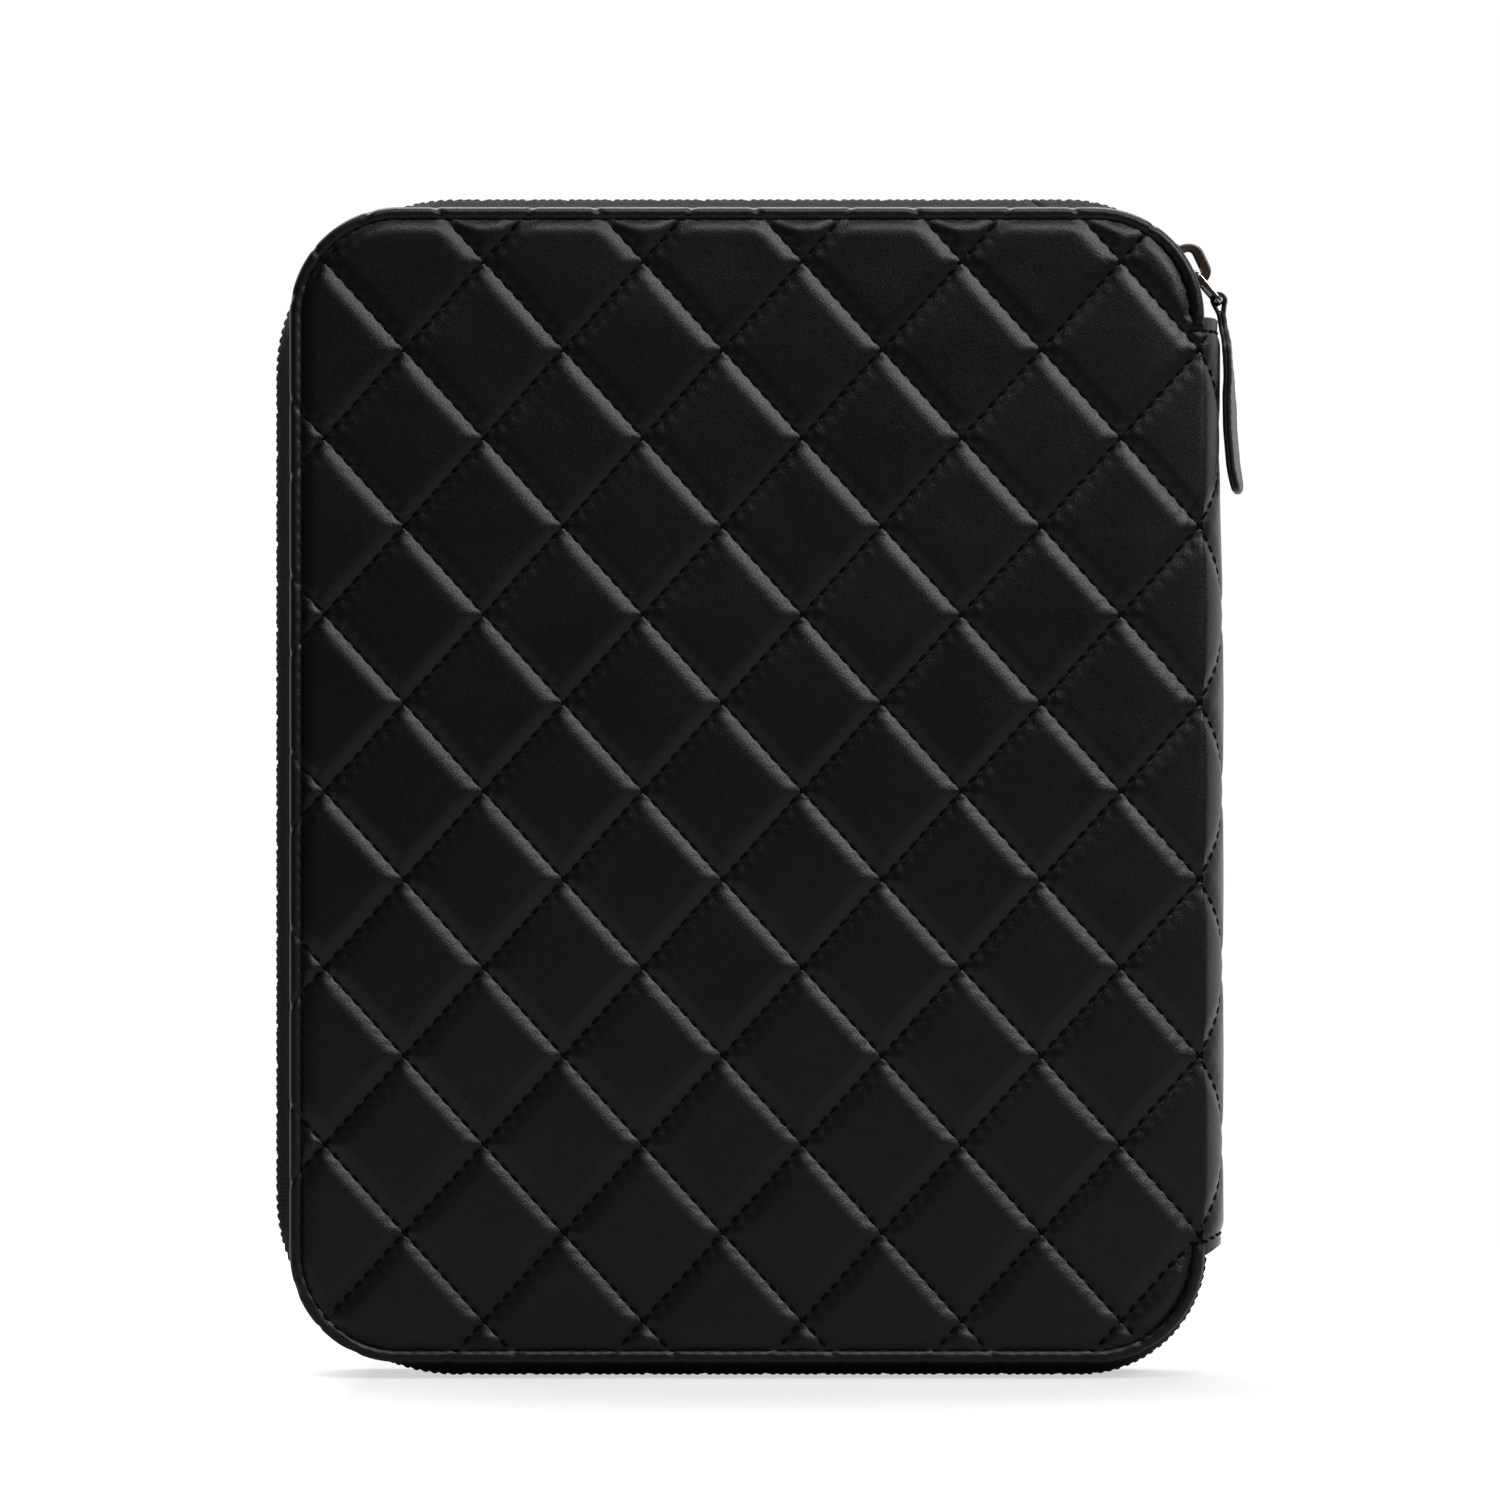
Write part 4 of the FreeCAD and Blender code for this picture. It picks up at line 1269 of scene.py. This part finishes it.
bm = flatSheet(liningLow, liningHigh, lining["round"], lining["grid"], 10)
for v in bm.verts:
    swell = lining["swell"] * (ripple(v.co.x, v.co.y, lining["swellRate"], 2.0) - lining["sink"])
    v.co = Vector((v.co.x, liningHigh.y + swell, v.co.y))
lookOutward(bm, lambda c: rearward)
sheet = newPiece("front_lining_sheet", bm, liningSuede)
thicken(sheet, lining["thick"])
places = borderStitches(
    liningLow, liningHigh, lining["seam"], lining["round"] - lining["seam"], 20, lining["pitch"]
)
sheets = bothSides(sheet)
seams = bothSides(stitchPiece("front_lining_stitches", places))
for (piece, side), (seam, _) in zip(sheets, seams):
    fit(seam, side + "_cover", "lining")
    fit(piece, side + "_cover", "lining", side + "_lining")

# the spine's lining is one sheet that runs on into a slack fold beside each cover: x and depth, mm
hinge = {
    "rows": (
        (-5.8, 0.7), (-2.4, 0.55), (-0.9, 0.45), (0.2, 0.9), (0.6, 1.6), (0.95, 2.2), (1.3, 2.4), (1.52, 2.1),
        (1.52, 1.4), (1.5, 0.7),
    ),
    "behind": 0.4 * mm,
    "endIn": 0.5 * mm,
    "bendFrom": -0.9 * mm,
    "bendTo": 0.3 * mm,
    "webIn": 0.05 * mm,
    "webRows": 9,
    "columns": 81,
}
webLow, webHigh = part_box("spine_lining")
webTall = webHigh.z - webLow.z


def spineSheet(name, rows):
    last = hinge["columns"] - 1
    bm = sweptGrid(
        hinge["columns"], len(rows), lambda i, j: Vector((*rows[j], webLow.z + webTall * i / last))
    )
    lookOutward(bm, lambda c: Vector((-1, 0, 0)))
    return newPiece(name, bm, liningSuede)


webRows = []
for j in range(hinge["webRows"]):
    webRows.append((webLow.x + hinge["webIn"], -webHigh.y + 2 * webHigh.y * j / (hinge["webRows"] - 1)))
web = spineSheet("spine_lining_sheet", webRows)
fit(web, "spine", "lining", "spine_lining")
hingeRows = [
    Vector((liningHigh.x + x * mm, liningHigh.y - hinge["behind"] - d * mm)) for x, d in hinge["rows"]
]
hingeRows.append(Vector((webLow.x + hinge["endIn"], -webHigh.y + hinge["behind"])))
hingeStart = Vector((liningHigh.x + hinge["bendFrom"], liningHigh.y, case["middle"]))
hingeEnd = Vector((webLow.x + hinge["bendTo"], liningHigh.y, case["middle"]))
for piece, side in bothSides(spineSheet("front_hinge_lining", hingeRows)):
    bendTo(piece, side, hingeStart, hingeEnd)
print("linings ready")

# ring tray and its padded rolls
roundedCopy("ring_tray_frame", "ring_tray", "rear_cover", "inner_leather", innerLeather, 0.55 * mm, 3)
rollLow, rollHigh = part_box("ring_rolls")
roll = {
    "count": 8, "pitch": 11.6 * mm, "columns": 60, "ring": 18, "side": 3, "endRound": 2.4 * mm,
    "endHigh": 0.72, "endWide": 0.55, "wave": 0.22 * mm, "waveRate": 70,
}
rollHalf = (rollHigh.z - rollLow.z - (roll["count"] - 1) * roll["pitch"]) / 2


# a roll's section has a straight side, a half round and the other side
def rollPoint(index, i, j):
    x = rollLow.x + (rollHigh.x - rollLow.x) * i / (roll["columns"] - 1)
    fromTip = min(x - rollLow.x, rollHigh.x - x)
    shrink = 1.0
    if fromTip < roll["endRound"]:
        shrink = math.sqrt(max(1 - (1 - fromTip / roll["endRound"]) ** 2, 0.0))
    side = roll["side"]
    last = roll["ring"] - 1
    straight = rollHigh.y - rollLow.y - rollHalf
    wave = 0.0
    if side <= j <= last - side:
        turn = math.pi * (j - side) / (last - 2 * side)
        deep, z = straight + rollHalf * math.sin(turn), -rollHalf * math.cos(turn)
        wave = noise.noise(Vector((x * roll["waveRate"], index * 3.7, j * 0.25))) * roll["wave"]
    else:
        deep, z = straight * min(j, last - j) / side, math.copysign(rollHalf, j - side)
    deep = deep * (roll["endHigh"] + (1 - roll["endHigh"]) * shrink) + wave
    middle = rollLow.z + rollHalf + index * roll["pitch"]
    return Vector((x, rollHigh.y - deep, middle + z * (roll["endWide"] + (1 - roll["endWide"]) * shrink)))


bm = bmesh.new()
for index in range(roll["count"]):
    one = sweptBar(roll["columns"], roll["ring"], lambda i, j: rollPoint(index, i, j))
    addCopies(bm, one, [Matrix()])
    one.free()
rolls = newPiece("ring_roll_pads", bm, charcoalSuede)
fit(rolls, "rear_cover", "ring_roll_suede", "ring_rolls")
print("ring rolls ready")

# slip pockets: a full panel sewn down at its sides and foot, with a turned hem at its mouth
pocket = {
    "wall": 5.0 * mm, "wallPower": 0.55, "columns": 76, "rows": 52, "thick": 1.1 * mm, "sewn": 0.3 * mm,
    "slack": 0.5 * mm, "slackRun": 20 * mm, "wave": 0.25 * mm, "waveRate": 45,
    "hems": (1.6 * mm, 9 * mm), "hemOut": 0.05 * mm, "sideIn": 0.9, "sideOut": 0.08 * mm, "pitch": 3.2 * mm,
}


def pocketPiece(side, rooms, way):
    low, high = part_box(side + "_pocket")
    back = high.y if way < 0 else low.y
    full = high.y - low.y
    wide = high.x - low.x
    tall = high.z - low.z
    up = rearward * way

    def height(x, z):
        room = (x - low.x) / wide * rooms
        part = room - math.floor(min(room, rooms - tiny))
        edge = min(part, 1 - part) * wide / rooms
        rise = smooth(edge / pocket["wall"]) if 0 < room < rooms else 0
        return rise ** pocket["wallPower"] * smooth((z - low.z) / pocket["wall"]) ** pocket["wallPower"]

    def place(i, j):
        x = low.x + wide * (i / (pocket["columns"] - 1))
        z = low.z + tall * j / (pocket["rows"] - 1)
        rise = height(x, z)
        top = smooth((z - high.z + pocket["slackRun"]) / pocket["slackRun"])
        slack = pocket["slack"] * top * math.sin(math.pi * min((x - low.x) / wide * rooms % 1, 1)) * rise
        wave = pocket["wave"] * abs(ripple(x, z, pocket["waveRate"], 5.0) * rise)
        deep = pocket["sewn"] + (full - pocket["sewn"]) * rise - wave - slack * 0.4
        return Vector((x, back + way * deep, z))

    name = side + "_slip_pocket"
    bm = sweptGrid(pocket["columns"], pocket["rows"], place)
    lookOutward(bm, lambda c: up)
    piece = newPiece(name, bm, innerLeather)
    thicken(piece, pocket["thick"])
    fit(piece, side + "_cover", "inner_leather", side + "_pocket")
    places = []
    for drop in pocket["hems"]:
        j = (1 - drop / tall) * (pocket["rows"] - 1)
        line = [place(i * 0.5, j) + up * pocket["hemOut"] for i in range(2 * pocket["columns"] - 1)]
        places += rowStitches(line, pocket["pitch"], up)
    for k in range(rooms + 1):
        i = (pocket["columns"] - 1) * k / rooms + pocket["sideIn"] * ((k == 0) - (k == rooms))
        line = [place(i, j) + up * pocket["sideOut"] for j in range(pocket["rows"])]
        places += rowStitches(line, pocket["pitch"], up)
    fit(stitchPiece(name + "_stitches", places), side + "_cover", "inner_leather")


pocketPiece("rear", 2, -1)
pocketPiece("front", 1, 1)
print("pockets ready")

# earring panel: padded suede with worked slits
panel = {"round": 1.1 * mm, "slitRound": 0.22 * mm, "border": 3 * mm, "seam": 3.2 * mm, "pitch": 3.4 * mm}
panelLow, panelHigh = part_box("earring_panel")
bm = mergedNode("earring_panel")
rounded = []
slits = []
for edge in sharpEdges(bm):
    a, b = (v.co for v in edge.verts)
    spot = (a + b) / 2
    if abs(spot.y - panelHigh.y) > 1e-5 or abs(a.y - b.y) > weld:
        continue
    border = min(spot.x - panelLow.x, panelHigh.x - spot.x, spot.z - panelLow.z, panelHigh.z - spot.z)
    (rounded if border < panel["border"] else slits).append(edge)
bevelEdges(bm, rounded, panel["round"], 4)
bevelEdges(bm, [e for e in slits if e.is_valid], panel["slitRound"], 2)
earring = newPiece("earring_pad", bm, charcoalSuede)
plainFaces(earring)
fit(earring, "front_cover", "ring_roll_suede", "earring_panel")
places = borderStitches(panelLow, panelHigh, panel["seam"], 2 * mm, 6, panel["pitch"])
fit(stitchPiece("earring_pad_stitches", places), "front_cover", "ring_roll_suede")
print("earring panel ready")

# the camera looks level at the front
view = {"distance": 1.5, "frameWidth": 319 * mm, "height": 134 * mm, "middleX": -1.82 * mm, "sensor": 36}
camera = bpy.data.cameras.new("camera")
camera.sensor_width = view["sensor"]
camera.lens = view["sensor"] * view["distance"] / view["frameWidth"]
eye = bpy.data.objects.new("camera", camera)
eye.location = (view["middleX"], case["face"] - view["distance"], view["height"])
eye.rotation_euler = (math.pi / 2, 0, 0)
bpy.context.scene.collection.objects.link(eye)
bpy.context.scene.camera = eye

# softboxes stand at the upper right and above: place, aim, size and power
softboxes = {
    "key_light": ((0.74, -0.62, 0.80), (0, 0, 0.13), (0.56, 0.56), 9.8),
    "top_front": ((0.10, -0.85, 1.25), (0, 0, 0.13), (0.5, 0.4), 7),
    "top_light": ((0.0, 0.55, 1.2), (0, 0, 0.1), (1.2, 0.8), 17),
}
for name, (place, aim, size, power) in softboxes.items():
    lamp = bpy.data.lights.new(name, "AREA")
    lamp.shape = "RECTANGLE"
    lamp.size, lamp.size_y = size
    lamp.energy = power
    holder = bpy.data.objects.new(name, lamp)
    holder.location = place
    holder.rotation_euler = (Vector(aim) - Vector(place)).to_track_quat("-Z", "Y").to_euler()
    bpy.context.scene.collection.objects.link(holder)


# rays that may see the white surroundings
def seenRays(tree):
    path = addNode(tree, "LightPath").outputs
    mirrored = combine(tree, "MAXIMUM", path["Is Glossy Ray"], path["Is Transmission Ray"])
    return path["Is Camera Ray"], mirrored


# the floor fades to plain white away from the case, and keeps its shadow near it
ground = {
    "reach": 0.42,
    "nearGlow": 0.57,
    "farGlow": 1.0,
    "fade": (0.06, 0.30),
    "stretch": (1.1, 1.3, 1.0),
    "side": (0.080, 0.102),
    "behind": (0.05, 0.20),
    "frontGlow": 0.03,
    "tone": 0.35,
    "openSide": 0.3,  # the shadow may reach further to the right, where the open cover stands
}
bm = bmesh.new()
bmesh.ops.create_circle(bm, cap_ends=True, segments=96, radius=ground["reach"])
floorMaterial, tree, shader = startMaterial("white_floor", {
    "Base Color": (ground["tone"], ground["tone"], ground["tone"], 1),
    "Roughness": 0.9, "Specular IOR Level": 0.0,
})
spot = addNode(tree, "SeparateXYZ", {"Vector": objectPlace(tree)}).outputs
sides = [combine(tree, "MULTIPLY", spot["X"], share) for share in (ground["openSide"], -1.0)]
beside = combine(tree, "MAXIMUM", *sides)
spread = nodeOut(tree, "CombineXYZ", "Vector", {"X": beside, "Y": spot["Y"]})
oval = stretched(tree, spread, ground["stretch"])
away = nodeOut(tree, "VectorMath", "Value", {0: oval}, operation="LENGTH")
direct, mirrored = seenRays(tree)
glows = [
    ramp(tree, source, ground["nearGlow"], ground["farGlow"], *ground[key])
    for source, key in ((away, "fade"), (beside, "side"))
]
seen = combine(tree, "MULTIPLY", direct, combine(tree, "MAXIMUM", *glows))
behind = ramp(tree, spot["Y"], ground["frontGlow"], ground["farGlow"], *ground["behind"])
strength = combine(tree, "ADD", seen, combine(tree, "MULTIPLY", mirrored, behind))
glow = nodeOut(tree, "Emission", "Emission", {"Color": (1, 1, 1, 1), "Strength": strength})
both = nodeOut(tree, "AddShader", "Shader", {0: shader.outputs["BSDF"], 1: glow})
tree.links.new(both, tree.nodes["Material Output"].inputs["Surface"])
floor = newPiece("floor", bm, floorMaterial)

# white behind the case, dim in front of it, as in a studio
surround = {"ambient": 0.12, "front": 0.035, "turn": (-0.05, 0.45)}
world = bpy.data.worlds.new("studio")
bpy.context.scene.world = world
world.use_nodes = True
tree = world.node_tree
backdrop = tree.nodes["Background"]
backdrop.inputs["Color"].default_value = (1, 1, 1, 1)
direct, mirrored = seenRays(tree)
heading = addNode(tree, "SeparateXYZ", {"Vector": nodeOut(tree, "TexCoord", "Generated")}).outputs["Y"]
behind = ramp(tree, heading, surround["front"], 1.0, *surround["turn"])
plain = combine(tree, "MULTIPLY", combine(tree, "SUBTRACT", 1.0, mirrored), surround["ambient"])
lit = combine(tree, "ADD", combine(tree, "MULTIPLY", mirrored, behind), plain)
tree.links.new(combine(tree, "MAXIMUM", lit, direct), backdrop.inputs["Strength"])
bpy.context.scene.view_settings.view_transform = "Standard"
print("studio ready")
